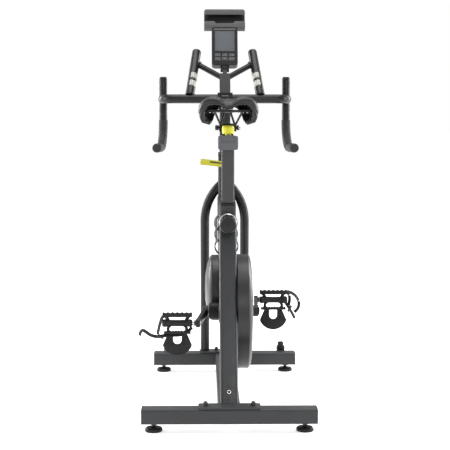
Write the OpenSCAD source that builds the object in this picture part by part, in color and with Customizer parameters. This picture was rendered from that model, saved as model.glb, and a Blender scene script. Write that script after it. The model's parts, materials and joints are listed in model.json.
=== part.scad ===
/* [Base] */
// Length of each stabilizer across the bike
bar_len = 520; // [480:10:600]
// Depth of the stabilizer tube, front to back
bar_d = 60; // [56:1:70]
// Height of the stabilizer tube
bar_h = 45; // [38:1:55]
// Distance between the two stabilizers
wheelbase = 900; // [860:10:960]
// Height of the stabilizer's underside above the floor
foot_h = 26; // [24:1:34]
// Diameter of a levelling foot
foot_d = 52; // [40:1:60]
// Diameter of a transport wheel
wheel_d = 49; // [40:1:54]
// Width of the base beam between the stabilizers
beam_w = 68; // [60:1:76]
// Height of the base beam
beam_h = 40; // [30:1:45]
// Wall of every frame tube
wall = 2.5; // [1.5:0.1:4]

/* [Frame] */
// Height of the crank axis above the floor
crank_z = 310; // [295:1:330]
// Distance of the crank axis ahead of the rear stabilizer
crank_ahead = 325; // [300:1:350]
// Lean of the seat tube, back from vertical
seat_lean = 9; // [6:0.5:14]
// Width of the seat tube
seat_w = 51; // [49:1:56]
// Depth of the seat tube
seat_d = 58; // [58:1:64]
// Length of the seat tube above the crank axis
seat_len = 352; // [330:1:380]
// Width of the rear strut
strut_w = 54; // [46:1:60]
// Height where the rear strut meets the seat tube
strut_top = 575; // [550:5:590]
// Width of the main beam
main_w = 54; // [48:1:54]
// Depth of the main beam
main_d = 64; // [58:1:70]
// Height of the head tube's lower end
head_z = 570; // [550:5:590]
// Lean of the head tube, back from vertical
head_lean = 14; // [10:0.5:18]
// Width of the head tube
head_w = 48; // [44:1:54]
// Depth of the head tube
head_d = 56; // [50:1:64]
// Length of the head tube
head_len = 234; // [220:1:250]
// Diameter of the two fork legs
leg_d = 32; // [28:1:38]
// Distance of each fork leg from the middle
leg_x = 72; // [66:1:80]

/* [Drive] */
// Radius of the round belt guard
guard_r = 182.5; // [178:0.5:188]
// Radius of the large pulley
pulley_r = 106; // [100:1:112]
// Radius of the small pulley
small_r = 20; // [17:1:24]
// Width of the belt
belt_w = 14; // [10:1:16]
// Radius of the flywheel
wheel_r = 88; // [80:1:90]
// Length of a crank arm between its centres
arm_len = 170; // [165:1:175]
// Angle of the cranks at rest
crank_angle = 4; // [0:1:8]
// Width of a pedal
pedal_w = 92; // [80:1:96]
// Distance of a pedal's middle from the bike's middle
pedal_x = 157; // [154:1:162]

/* [Seat] */
// Width of the sliding seat post
post_w = 40; // [36:1:42]
// Depth of the sliding seat post
post_d = 44; // [38:1:46]
// Width of the saddle slider
slider_w = 42; // [36:1:46]
// Height of the saddle slider
slider_h = 22; // [18:1:26]
// Width of the saddle
saddle_w = 186; // [170:2:210]
// Length of the saddle
saddle_len = 262; // [250:2:280]
// Height of the saddle's top above the floor
saddle_z = 992; // [980:1:1010]

/* [Handlebar] */
// Height of the handlebar's cross tube
bar_z = 999; // [990:1:1015]
// Diameter of the cross tube
tube_d = 32; // [28:1:34]
// Diameter of the side tubes
horn_d = 28.6; // [25:0.2:30]
// Distance of the side tubes from the middle
horn_x = 222; // [210:1:226]
// Height of the side tubes' top ends
horn_top = 1080; // [1060:5:1100]
// Width of the console
console_w = 93; // [86:1:100]
// Height of the console along its face
console_l = 146; // [136:1:156]
// Width of the tablet holder
tray_w = 148; // [130:2:170]

/* [Hidden] */

run = 0.05;                             // running clearance of a shaft in its bore
gap = 0.3;                              // clearance between sliding faces
reach = wheel_d + 1;                    // how far the wheels stand ahead of the front bar
rear_y = -(wheelbase + bar_d + reach) / 2 + bar_d / 2;
front_y = rear_y + wheelbase;
bar_top = foot_h + bar_h;
plate_t = 6;
plate_l = 184;
crank_y = rear_y + crank_ahead;
foot_x = bar_len / 2 - 36;
wheel_x = bar_len / 2 - 49.5;
wheel_y = front_y + bar_d / 2 + 1 + wheel_d / 2;
wheel_z = bar_top + 29 - wheel_d / 2;
strut_d = 50;
strut_y = rear_y + bar_d / 2;
function seat_at(z) = crank_y - (z - crank_z) * tan(seat_lean);
strut_lean = atan((seat_at(strut_top) - seat_d / 2 / cos(seat_lean) - strut_y) / (strut_top - bar_top));
post_low_w = 44;
bb_r = 27;
axle_r = 10;
// the head tube's foot stands a little behind the front stabilizer
head_y = front_y - 22;
joint_z = head_z + 66;
joint_y = head_y - 66 * tan(head_lean);
rise = atan2(joint_z - crank_z, joint_y - crank_y);
fork_lean = 4.2;
leg_len = 487;
arc_r = 175;
// flywheel axis, ahead of and above the cranks
fly_y = crank_y + 130;
fly_z = crank_z + 59;
fly_axle_r = 8.5;
pulley_x0 = 41;
shroud_r = wheel_r + 20.6;
// belt: angle that its two straight runs turn from the line of centres
span = norm([fly_y - crank_y, fly_z - crank_z]);
span_a = atan2(fly_z - crank_z, fly_y - crank_y);
belt_t = 3;
tilt_belt = asin((pulley_r - small_r) / span);
spindle_r = 7;
eye_l = [crank_y - arm_len * cos(crank_angle), crank_z - arm_len * sin(crank_angle)];
eye_r = [crank_y + arm_len * cos(crank_angle), crank_z + arm_len * sin(crank_angle)];
arm_x = 94;
// seat group: height of the collar on the seat post
collar_z = 828;
collar_h = 43;
collar_y = seat_at(collar_z + collar_h / 2) - 3;
collar_w = 61;
collar_l = 84;
slider_z = collar_z + collar_h - slider_h + 1.5;
knob_y = collar_y - collar_l / 2 + 22;
saddle_y = seat_at(saddle_z) + 8;
clamp_y = saddle_y + 46;
pin_z = 607;
// handlebar group: the cross tube lies on the head tube's line
stem_y = head_y - (bar_z - head_z) * tan(head_lean) + 12;
horn_y = stem_y + 90;
bend_r = 45;
lever_z = 773;
aero_foot = [125, stem_y, bar_z + 12];
aero_top = [100, stem_y + 115, 1176];
console_y = stem_y + 84;
console_z = 1183;
console_tilt = 20;
steel = "#3d3e40";
black = "#1d1d1f";
lime = "#dfe03c";

module rrect(w, d, r) {
    square([w - 2 * r, d], center = true);
    square([w, d - 2 * r], center = true);
    for (x = [-1, 1], y = [-1, 1])
        translate([x * (w / 2 - r), y * (d / 2 - r)]) circle(r, $fn = 40);
}

module box_tube(w, d, r, t, len) {
    linear_extrude(len) difference() {
        rrect(w, d, r);
        rrect(w - 2 * t, d - 2 * t, r - t);
    }
}

module xcyl(r, x0, x1, fn = 64) {
    translate([x0, 0, 0]) rotate([0, 90, 0]) cylinder(h = x1 - x0, r = r, $fn = fn);
}

module xring(ro, ri, x0, x1) {
    difference() {
        xcyl(ro, x0, x1, 96);
        xcyl(ri, x0 - 1, x1 + 1, 96);
    }
}

module slab(x, y, z) { cube([x, y, z], center = true); }

module at_crank() { translate([0, crank_y, crank_z]) children(); }
module at_fly() { translate([0, fly_y, fly_z]) children(); }
module along_seat() { at_crank() rotate([seat_lean, 0, 0]) children(); }
module along_main() { at_crank() rotate([rise - 90, 0, 0]) children(); }
module along_strut() { translate([0, strut_y, bar_top]) rotate([-strut_lean, 0, 0]) children(); }
module along_head() { translate([0, head_y, head_z]) rotate([head_lean, 0, 0]) children(); }
module at_feet() {
    for (x = [-foot_x, foot_x], y = [rear_y, front_y]) translate([x, y, 0]) children();
}

// ---- base ----

module stabilizer(y) {
    color(steel) difference() {
        translate([-bar_len / 2 + 3, y, foot_h + bar_h / 2]) rotate([90, 0, 90])
            box_tube(bar_d, bar_h, 6, wall, bar_len - 6);
        for (x = [-foot_x, foot_x]) translate([x, y, foot_h - 1]) cylinder(h = wall + 2, r = 5.3, $fn = 32);
        children();
    }
}

module bolt_holes(y, x, r = 4.2) {
    for (s = [-x, x]) translate([s, y, bar_top - wall - 1]) cylinder(h = 20, r = r, $fn = 32);
}

module rear_stabilizer() { stabilizer(rear_y) bolt_holes(rear_y, 71); }
module front_stabilizer() { stabilizer(front_y) bolt_holes(front_y, 30); }

module stabilizer_end_caps() {
    color(black) for (s = [-1, 1], y = [rear_y, front_y])
        translate([s * (bar_len / 2 - 3), y, foot_h + bar_h / 2]) rotate([0, s * 90, 0]) {
            linear_extrude(3) rotate(90) rrect(bar_d, bar_h, 6);
            translate([0, 0, -12]) linear_extrude(12) rotate(90)
                rrect(bar_d - 2 * wall - 0.6, bar_h - 2 * wall - 0.6, 3);
        }
}

module base_beam() {
    color(steel) translate([0, rear_y + bar_d / 2, bar_top - beam_h / 2]) rotate([-90, 0, 0])
        box_tube(beam_w, beam_h, 7, wall, wheelbase - bar_d);
}

module plate(y, x) {
    color(steel) difference() {
        translate([0, y, bar_top]) linear_extrude(plate_t) rrect(plate_l, bar_d, 8);
        bolt_holes(y, x);
    }
}

module mount_plates() {
    plate(rear_y, 71);
    difference() {
        plate(front_y, 30);
        for (s = [0, 1]) mirror([s, 0, 0]) fork_place() translate([leg_x, 0, -60])
            cylinder(h = 120, d = leg_d, $fn = 64);
    }
}

module fasteners() {
    color("silver") for (p = [[71, rear_y], [-71, rear_y], [30, front_y], [-30, front_y]])
        translate([p[0], p[1], bar_top + plate_t]) {
            cylinder(h = 1.6, r = 10, $fn = 40);
            translate([0, 0, 1.6]) cylinder(h = 6, r = 7.5, $fn = 6);
            translate([0, 0, 7]) difference() {
                sphere(6.6, $fn = 40);
                translate([0, 0, -10]) slab(20, 20, 20);
            }
            translate([0, 0, -plate_t - 16]) cylinder(h = plate_t + 16, r = 4, $fn = 32);
        }
    // jam nuts of the levelling feet
    color("silver") at_feet() translate([0, 0, foot_h - 6]) difference() {
        cylinder(h = 6, r = 9.8, $fn = 6);
        translate([0, 0, -1]) cylinder(h = 8, r = 5 + run, $fn = 48);
    }
}

module foot(x, y) {
    color(black) translate([x, y, 0]) {
        rotate_extrude($fn = 96) polygon([[0, 0], [foot_d / 2 - 2, 0], [foot_d / 2, 2], [foot_d / 2, 9],
            [foot_d / 2 - 4, 13], [9, 13], [9, 15], [5, 15], [5, foot_h + 22], [0, foot_h + 22]]);
    }
}

module foot_rear_left() { foot(-foot_x, rear_y); }
module foot_rear_right() { foot(foot_x, rear_y); }
module foot_front_left() { foot(-foot_x, front_y); }
module foot_front_right() { foot(foot_x, front_y); }

module wheel_brackets() {
    y0 = front_y + bar_d / 2;
    color(steel) for (s = [-1, 1]) translate([s * wheel_x, 0, 0]) {
        for (c = [-1, 1]) translate([c * 13 - 1.5, 0, 0]) {
            translate([0, y0, wheel_z - 22]) cube([3, wheel_y - y0, 17.5]);
            translate([0, wheel_y, wheel_z]) xcyl(9, 0, 3, 48);
            translate([0, y0, wheel_z - 13]) cube([3, wheel_y - y0, 9]);
        }
        translate([0, wheel_y, wheel_z]) xcyl(4, -16, 16, 48);
    }
}

module wheel(x) {
    color(black) translate([x, wheel_y, wheel_z]) rotate([0, 90, 0]) rotate_extrude($fn = 96)
        polygon([[4 + run, -10.5], [8, -10.5], [9, -8], [17, -8], [18, -10.5], [wheel_d / 2 - 3, -10.5],
            [wheel_d / 2, -6], [wheel_d / 2, 6], [wheel_d / 2 - 3, 10.5], [18, 10.5], [17, 8], [9, 8],
            [8, 10.5], [4 + run, 10.5]]);
}

module wheel_left() { wheel(-wheel_x); }
module wheel_right() { wheel(wheel_x); }

// ---- welded frame ----

module rear_strut() {
    color(steel) difference() {
        along_strut() translate([0, strut_d / 2, -60]) box_tube(strut_w, strut_d, 9, wall, 760);
        translate([0, strut_y, bar_top - 100]) slab(200, 500, 200);
        // mitre against the back of the seat tube
        along_seat() translate([0, 500 - seat_d / 2, 200]) slab(200, 1000, 900);
    }
}

module lower_post() {
    color(steel) difference() {
        along_seat() translate([0, 0, -300]) box_tube(post_low_w, 50, 7, wall, 300);
        translate([0, crank_y, bar_top - 100]) slab(200, 400, 200);
        at_crank() xcyl(bb_r, -60, 60);
    }
    crank_brace();
}

module seat_tube() {
    color(steel) difference() {
        along_seat() box_tube(seat_w, seat_d, 7.5, wall, seat_len);
        at_crank() xcyl(bb_r, -60, 60);
        // mouth that slopes down to the back
        along_seat() translate([0, -seat_d / 2, seat_len]) rotate([24, 0, 0]) translate([0, 0, 100])
            slab(200, 300, 200);
        along_seat() translate([0, 0, pin_local]) rotate([90, 0, 0]) cylinder(h = 60, r = 7, $fn = 48);
    }
}

pin_local = (pin_z - crank_z) / cos(seat_lean);

module crank_brace() {
    color(steel) difference() {
        translate([0, crank_y - 60, crank_z + 2]) rotate([90, 0, 0])
            translate([0, 0, -100]) box_tube(58, 44, 8, wall, 400);
        along_strut() translate([0, strut_d - 500, 300]) slab(200, 1000, 1400);
        along_seat() translate([0, 500 - seat_d / 2, 0]) slab(200, 1000, 900);
    }
}

module main_beam() {
    color(steel) difference() {
        along_main() box_tube(main_w, main_d, 9, wall, 700);
        along_seat() translate([0, seat_d / 2 - 500, 0]) slab(200, 1000, 1200);
        along_head() translate([0, 500 - head_d / 2, 100]) slab(200, 1000, 900);
        at_fly() xcyl(22, -60, 60);
        brake_place() cylinder(h = 40, r = 5 + run, center = true, $fn = 64);
    }
    color("silver") at_fly() brake_pin(0);
    color(black) brake_place() difference() {
        cylinder(h = 6, r = 10, $fn = 64);
        translate([0, 0, -1]) cylinder(h = 8, r = 5 + run, $fn = 64);
    }
}

module head_tube() {
    color(steel) difference() {
        along_head() box_tube(head_w, head_d, 8, wall, head_len);
        along_head() translate([0, 0, lever_local]) rotate([90, 0, 0]) cylinder(h = 60, r = 5, $fn = 48);
    }
}

lever_local = head_len - 22;

module fork_place() {
    translate([0, front_y, bar_top + plate_t]) rotate([fork_lean, 0, 0]) children();
}

module fork_leg() {
    color(steel) difference() {
        fork_place() {
            translate([leg_x, 0, -20]) cylinder(h = leg_len + 20, d = leg_d, $fn = 64);
            translate([leg_x - arc_r, 0, leg_len]) rotate([90, 0, 0]) rotate_extrude(angle = 56, $fn = 128)
                translate([arc_r, 0]) circle(d = leg_d, $fn = 64);
        }
        translate([0, front_y, bar_top - 100]) slab(400, 200, 200);
        along_head() translate([0, 0, head_len / 2]) slab(head_w, 400, 400);
        translate([-200, 0, head_z]) slab(400, 1200, 900);
    }
}

module fork_right() { fork_leg(); }
module fork_left() { mirror([1, 0, 0]) fork_leg(); }

module bearing_housings() {
    color(black) at_crank() difference() {
        union() {
            xcyl(bb_r, -56, 28);
            xcyl(bb_r - 2.5, -60, -50);
        }
        xcyl(18, -61, 29);
        xcyl(23.5 + run, -57, -42);
        xcyl(23.5 + run, 14, 29);
        for (x = [-52, -40]) xring(bb_r + 1, bb_r - 1, x, x + 2);
    }
    color(steel) at_fly() difference() {
        xcyl(22, -28, 28);
        xcyl(15, -29, 29);
        xcyl(20 + run, -29, -16);
        xcyl(20 + run, 16, 29);
    }
}

module bearings() {
    color("silver") {
        at_crank() for (x = [-56, 14]) xring(23.5, axle_r + run, x, x + 14);
        at_fly() for (x = [-28, 16]) xring(20, fly_axle_r + run, x, x + 12);
    }
}

module post_bushings() {
    // collar that follows the sloping mouth of the seat tube
    color(black) along_seat() difference() {
        translate([0, 0, seat_len - 38]) linear_extrude(70)
            rrect(seat_w - 2 * wall - 0.1, seat_d - 2 * wall - 0.1, 5);
        translate([0, 0, seat_len - 50]) linear_extrude(120)
            rrect(post_w + 2 * gap, post_d + 2 * gap, 6.5);
        translate([0, -seat_d / 2, seat_len + 5]) rotate([24, 0, 0]) translate([0, 0, 100])
            slab(200, 300, 200);
    }
    color(black) along_head() translate([0, 0, head_len]) difference() {
        union() {
            translate([0, 0, -9]) linear_extrude(9)
                rrect(head_w - 2 * wall - 0.1, head_d - 2 * wall - 0.1, 5.5);
            linear_extrude(7) rrect(head_w, head_d, 8);
        }
        translate([0, 0, -10]) linear_extrude(30)
            rrect(bar_post_w + 2 * gap, bar_post_d + 2 * gap, 5.5);
    }
}

bar_post_w = 38;
bar_post_d = 44;

// ---- drive ----

module guard_back() {
    color(steel) difference() {
        at_crank() difference() {
            xcyl(guard_r, 30, 63, 180);
            xcyl(guard_r - 2.5, 32.5, 64, 180);
            xcyl(14, 20, 40);
        }
        at_fly() xcyl(12, 20, 40);
    }
    // standoffs on the frame
    color(black) {
        translate([0, crank_y + 60, crank_z + 60 * tan(rise)]) xcyl(7, main_w / 2, 30, 40);
        translate([0, seat_at(crank_z + 135), crank_z + 135]) xcyl(7, seat_w / 2, 30, 40);
        translate([0, seat_at(crank_z - 110), crank_z - 110]) xcyl(7, post_low_w / 2, 30, 40);
    }
}

module guard_cover() {
    color(steel) at_crank() rotate([0, 90, 0]) rotate_extrude($fn = 180) polygon([
        [guard_r, 63], [guard_r, 65], [guard_r - 5, 70], [guard_r - 14, 73.5], [guard_r - 40, 77],
        [70, 80.5], [30, 82], [22, 82], [22, 79.5], [30, 79.5], [70, 78], [guard_r - 40, 74.5],
        [guard_r - 15, 71], [guard_r - 7, 67], [guard_r - 3.2, 63]]);
}

module belt_path(e) {
    // two pulley arcs joined by straight runs that touch both
    hull_r = pulley_r + e;
    hull_s = small_r + e;
    circle(hull_r, $fn = 128);
    rotate(span_a) translate([span, 0]) circle(hull_s, $fn = 64);
    rotate(span_a) polygon([
        [hull_r * sin(tilt_belt), hull_r * cos(tilt_belt)],
        [span + hull_s * sin(tilt_belt), hull_s * cos(tilt_belt)],
        [span + hull_s * sin(tilt_belt), -hull_s * cos(tilt_belt)],
        [hull_r * sin(tilt_belt), -hull_r * cos(tilt_belt)],
        [0, 0]]);
}

module drive_belt() {
    color(black) at_crank() translate([pulley_x0 + 1, 0, 0]) rotate([90, 0, 90]) linear_extrude(belt_w - 2)
        difference() {
            belt_path(belt_t + gap);
            belt_path(gap);
        }
}

module flywheel_shroud() {
    r = shroud_r;
    // rim band and dome over the left side of the flywheel
    color(steel) at_fly() rotate([0, 90, 0]) rotate_extrude($fn = 160) polygon([
        [r, -main_w / 2], [r, -48], [r - 3, -53], [r - 14, -59], [r - 32, -65], [r - 60, -69.5],
        [40, -71], [0, -72], [0, -69.5], [40, -68.5], [r - 60, -67], [r - 33, -62.5], [r - 15, -56.5],
        [r - 4.5, -51], [r - 2.5, -47.5], [r - 2.5, -main_w / 2]]);
}

module flywheel() {
    color("dimgray") at_fly() {
        rotate([0, 90, 0]) rotate_extrude($fn = 128) polygon([
            [0, -56], [13, -56], [13, -44], [wheel_r - 22, -44], [wheel_r - 18, -50], [wheel_r, -50],
            [wheel_r, -31], [wheel_r - 18, -31], [wheel_r - 22, -36], [13, -36], [13, -30],
            [fly_axle_r, -30], [fly_axle_r, pulley_x0 - 3], [12, pulley_x0 - 3], [12, pulley_x0 - 1],
            [small_r + 1.5, pulley_x0 - 1], [small_r + 1.5, pulley_x0], [small_r, pulley_x0],
            [small_r, pulley_x0 + belt_w], [small_r + 1.5, pulley_x0 + belt_w],
            [small_r + 1.5, pulley_x0 + belt_w + 1], [0, pulley_x0 + belt_w + 1]]);
    }
}

shoe_r0 = wheel_r + 2;
shoe_rm = shoe_r0 + 4.5;
// the shoe's pin stands on the beam's left side, where its middle line crosses the shoe's radius
fly_below = (fly_y - crank_y) * sin(rise) - (fly_z - crank_z) * cos(rise);
brake_pin_a = rise + asin(fly_below / shoe_rm);

module brake_shoe() {
    // curved magnet carrier that hangs on a pin beside the main beam
    color("dimgray") at_fly() difference() {
        rotate([0, 90, 0]) rotate(brake_pin_a + 84) translate([0, 0, -50]) rotate_extrude(angle = 66, $fn = 128)
            translate([shoe_r0, 0]) square([9, 20]);
        brake_pin(run);
    }
}

module brake_pin(extra) {
    translate([0, shoe_rm * cos(brake_pin_a), shoe_rm * sin(brake_pin_a)]) xcyl(3 + extra, -52, -main_w / 2, 40);
}

// the resistance control stands on top of the main beam near the head tube
brake_at = 430;
module brake_place() { along_main() translate([0, -main_d / 2, brake_at]) rotate([90, 0, 0]) children(); }

module brake_rod() {
    color("silver") brake_place() translate([0, 0, -34]) cylinder(h = 64, r = 5, $fn = 48);
}

module brake_knob() {
    color(black) brake_place() difference() {
        rotate_extrude($fn = 96) polygon([[0, 16], [12, 16], [19, 20], [20, 24], [20, 36], [17, 41], [0, 43]]);
        cylinder(h = 30 + run, r = 5 + run, $fn = 48);
        for (a = [0:30:330]) rotate(a) translate([21.5, 0, 10]) cylinder(h = 40, r = 2.6, $fn = 24);
    }
}

cage_at = 246;
module cage_place() { along_main() translate([0, -main_d / 2, cage_at]) children(); }

module bottle_cage() {
    color(black) cage_place() {
        translate([0, -2, 66]) slab(24, 4, 150);
        difference() {
            for (z = [0, 70, 132]) translate([0, -40, z]) difference() {
                cylinder(h = z == 132 ? 14 : 9, r = 40, $fn = 96);
                translate([0, 0, -1]) cylinder(h = 20, r = 37, $fn = 96);
            }
            translate([0, 20, 70]) slab(200, 40, 300);
        }
        for (a = [-60, 60]) translate([0, -40, 0]) rotate(a - 90) translate([37, -4, 0]) cube([3, 8, 140]);
        translate([0, -36, -9]) slab(12, 62, 4);
        translate([0, -4, -5]) slab(12, 4, 12);
        translate([0, -67, -5]) slab(12, 4, 12);
    }
}

// ---- cranks and pedals ----

module crank_axle() {
    color("silver") {
        at_crank() {
            xcyl(axle_r, -77, 99);
            xcyl(26, 37, pulley_x0);
            difference() {
                xcyl(pulley_r, pulley_x0, pulley_x0 + belt_w, 160);
                for (a = [0:72:288]) rotate([a, 0, 0]) translate([0, 0, 62]) xcyl(24, 30, 70);
            }
        }
        translate([0, eye_l[0], eye_l[1]]) xcyl(spindle_r, -pedal_x - 34, -arm_x + 9, 48);
        translate([0, eye_r[0], eye_r[1]]) xcyl(spindle_r, arm_x - 3, pedal_x + 34, 48);
    }
}

module arm(s, x0, x1, eye) {
    // tapered arm whose outer end stands further out than its boss
    color(black) difference() {
        union() {
            at_crank() xcyl(18, min(x0, x0 + s * 16), max(x0, x0 + s * 16));
            translate([0, eye[0], eye[1]]) xcyl(14, min(x1, x1 + s * 13), max(x1, x1 + s * 13));
            hull() {
                at_crank() xcyl(13.5, min(x0 + s * 2, x0 + s * 14), max(x0 + s * 2, x0 + s * 14), 32);
                translate([0, eye[0], eye[1]]) xcyl(11, min(x1 + s, x1 + s * 12), max(x1 + s, x1 + s * 12), 32);
            }
        }
        at_crank() xcyl(axle_r, -200, 200);
        translate([0, eye[0], eye[1]]) xcyl(spindle_r, -200, 200, 48);
    }
}

module crank_arm_left() { arm(-1, -61, -87, eye_l); }
module crank_arm_right() { arm(1, 83.5, 92, eye_r); }

module pedal(eye, s) {
    w = pedal_w;
    color(black) translate([s * pedal_x, eye[0], eye[1]]) {
        difference() {
            union() {
                xcyl(10.5, -w / 2 + 5, w / 2 - 5);
                for (x = [-1, 1]) translate([x * (w / 2 - 3), 0, -2]) slab(6, 22, 64);
            }
            xcyl(spindle_r + run, -w, w, 48);
        }
        // gripping bars with teeth above and below the barrel
        for (z = [26, -30]) translate([0, 0, z]) difference() {
            slab(w, 16, 12);
            for (x = [-w / 2 + 14:12:w / 2 - 10]) translate([x, 0, z > 0 ? 6 : -6]) slab(5, 20, 5);
        }
        // toe cage that hangs below
        translate([0, 9.5, 0]) rotate([90, 0, 0]) linear_extrude(3.5) difference() {
            polygon(concat([[27, -29], [w / 2 - 1, -70]],
                [for (a = [-20:-10:-160]) [48 * cos(a), 48 * sin(a) - 54]],
                [[1 - w / 2, -70], [-27, -29]]));
            translate([0, -54]) circle(13, $fn = 48);
            translate([0, -40]) square([26, 28], center = true);
        }
    }
}

module pedal_left() { pedal(eye_l, -1); }
module pedal_right() { pedal(eye_r, 1); }

module strap(eye, s, out, drop) {
    // loop of webbing beside the pedal
    color(black) translate([s * (pedal_x + pedal_w / 2 + 0.3), eye[0], eye[1] + drop]) rotate([90, 0, 0])
        translate([0, 0, -6]) linear_extrude(12) difference() {
            translate([s * out / 2, 0]) square([out, 44], center = true);
            translate([s * (out / 2 - 1), 0]) square([out - 4, 38], center = true);
            translate([s * out, 0]) square([2, 10], center = true);
        }
}

module strap_left() { strap(eye_l, -1, 54, -26); }
module strap_right() { strap(eye_r, 1, 40, -8); }

// ---- seat group ----

module seat_post() {
    color(steel) {
        difference() {
            along_seat() translate([0, 0, 170]) box_tube(post_w, post_d, 6.5, wall, 400);
            translate([0, collar_y, collar_z + 200]) slab(300, 300, 400);
            // holes for the pin in the back wall
            along_seat() for (i = [-4:1]) translate([0, 0, pin_local + i * 22]) rotate([90, 0, 0])
                cylinder(h = 60, r = 5.5, $fn = 32);
        }
        // collar with the channel that guides the slider
        translate([0, collar_y, collar_z]) difference() {
            translate([0, collar_l / 2, collar_h / 2]) rotate([90, 0, 0]) linear_extrude(collar_l)
                rrect(collar_w, collar_h, 6);
            translate([0, 0, slider_z - collar_z - gap + 50])
                slab(slider_w + 2 * gap, collar_l + 2, 100);
        }
    }
}

module pin_place() { along_seat() translate([0, -seat_d / 2, pin_local]) rotate([90, 0, 0]) children(); }

module pin_housing() {
    color("silver") pin_place() difference() {
        union() {
            cylinder(h = 5, r = 27, $fn = 96);
            cylinder(h = 26, r = 12, $fn = 64);
            translate([0, 0, -wall]) cylinder(h = wall, r = 6.95, $fn = 48);
        }
        translate([0, 0, -10]) cylinder(h = 50, r = 4 + run, $fn = 48);
    }
}

module seat_pin() {
    color(black) pin_place() {
        difference() {
            rotate_extrude($fn = 96) polygon([[0, 27], [17, 27], [24, 31], [26, 36], [26, 48], [23, 52], [0, 54]]);
            for (a = [0:40:320]) rotate(a) translate([29, 0, 20]) cylinder(h = 40, r = 4.5, $fn = 32);
        }
        translate([0, 0, 0.4 - (seat_d - post_d) / 2]) cylinder(h = 34, r = 4, $fn = 48);
    }
}

module saddle_slider() {
    color("dimgray") difference() {
        translate([0, collar_y - collar_l / 2 + 160, slider_z + slider_h / 2]) rotate([90, 0, 0])
            box_tube(slider_w, slider_h, 3, 2, 160);
        translate([0, knob_y, slider_z - 1]) cylinder(h = slider_h + 2, r = 4 + run, $fn = 48);
    }
    color(black) translate([0, collar_y - collar_l / 2 + 6, slider_z + slider_h / 2]) rotate([90, 0, 0])
        linear_extrude(5) rrect(slider_w - 4.1, slider_h - 4.1, 1);
}

module slider_knob() {
    z0 = slider_z + slider_h;
    color(lime) translate([0, knob_y, 0]) {
        difference() {
            translate([0, 0, z0 + 4]) rotate_extrude($fn = 96)
                polygon([[0, 0], [16.5, 0], [18.5, 2], [19, 20], [16, 25.5], [0, 26]]);
            for (a = [0:24:336]) rotate(a) translate([20, 0, z0]) cylinder(h = 24, r = 2, $fn = 24);
        }
        translate([0, 0, z0 + gap]) cylinder(h = 4, r = 9, $fn = 48);
        translate([0, 0, slider_z + 0.4]) cylinder(h = slider_h + 4, r = 4, $fn = 48);
    }
}

rail_r = 3.5;
module toward(a, b) {
    v = b - a;
    translate(a) rotate([0, acos(v[2] / norm(v)), atan2(v[1], v[0])]) children();
}

module rod(a, b, r) { toward(a, b) cylinder(h = norm(b - a), r = r, $fn = 64); }

module round_rod(a, b, r) {
    // rod whose far end is rounded
    l = norm(b - a);
    toward(a, b) rotate_extrude($fn = 64)
        polygon([[0, 0], [r, 0], [r, l - 8], [r - 1.6, l - 3.6], [r - 5, l - 1], [r - 9, l], [0, l]]);
}

module saddle_frame() {
    z0 = slider_z + slider_h;
    clamp_z = z0 + 24;
    color(black) {
        // clamp block, its cross bolt and the two rails
        translate([0, clamp_y, z0 + 7]) slab(34, 44, 14);
        translate([0, clamp_y, clamp_z]) xcyl(13, -20, 20, 48);
        translate([0, clamp_y, clamp_z]) xcyl(4, -38, 38, 32);
        for (s = [-1, 1]) {
            translate([0, clamp_y, clamp_z]) xcyl(8, s > 0 ? 28 : -34, s > 0 ? 34 : -28, 6);
            translate([0, clamp_y, clamp_z]) xcyl(12, s > 0 ? 20 : -27, s > 0 ? 27 : -20, 48);
            rail_a = [s * 23, clamp_y - 36, clamp_z + 6];
            rail_b = [s * 23, clamp_y + 36, clamp_z + 6];
            rod(rail_a, rail_b, rail_r);
            rod(rail_a + [0, 0, 2], [s * 42, saddle_y - 92, saddle_z - 47], rail_r);
            rod(rail_b + [0, 0, 2], [s * 10, saddle_y + 96, saddle_z - 47], rail_r);
        }
        // moulded base plate under the pad
        translate([0, saddle_y, saddle_z - 48.6]) linear_extrude(6) saddle_outline(16);
    }
}

// half width of the saddle, from its broad rear (t = 0) to its rounded nose (t = 1)
function lobe(t) = t < 0.2 ? sqrt(1 - pow(1 - t / 0.2, 2)) : t < 0.3 ? 1 : (1 + cos(180 * min(1, (t - 0.3) / 0.42))) / 2;
function nose(t) = sqrt(1 - pow(max(0, (t - 0.86) / 0.14), 2));
function half_w(t) = lobe(t) * (saddle_w / 2 - 21) + 21 * nose(t) * min(1, t * 12);

module saddle_outline(inset) {
    n = 40;
    side = [for (i = [0:n]) [half_w(i / n), (i / n - 0.5) * saddle_len]];
    scale([1 - 2 * inset / saddle_w, 1 - 2 * inset / saddle_len])
        polygon(concat(side, [for (i = [n - 1:-1:1]) [-side[i][0], side[i][1]]]));
}

module saddle_pad() {
    r = 44;
    // broad lobes with a dip between them, cut to the saddle's outline
    color(black) translate([0, saddle_y, saddle_z]) difference() {
        intersection() {
            translate([0, 0, -90]) linear_extrude(92) saddle_outline(0);
            rotate([90, 0, 0]) linear_extrude(saddle_len + 20, center = true) {
                for (s = [-1, 1]) translate([s * (saddle_w / 2 - r), -r]) circle(r, $fn = 96);
                translate([0, -33]) square([90, 34], center = true);
            }
        }
        // hollow under the nose and around the base plate
        translate([0, 70 - saddle_len / 2 + 200, -42.3 - 50]) slab(300, 400, 100);
        translate([0, 0, -42.3 - 60]) linear_extrude(60) saddle_outline(15.7);
    }
}

// ---- handlebar group ----

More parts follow.
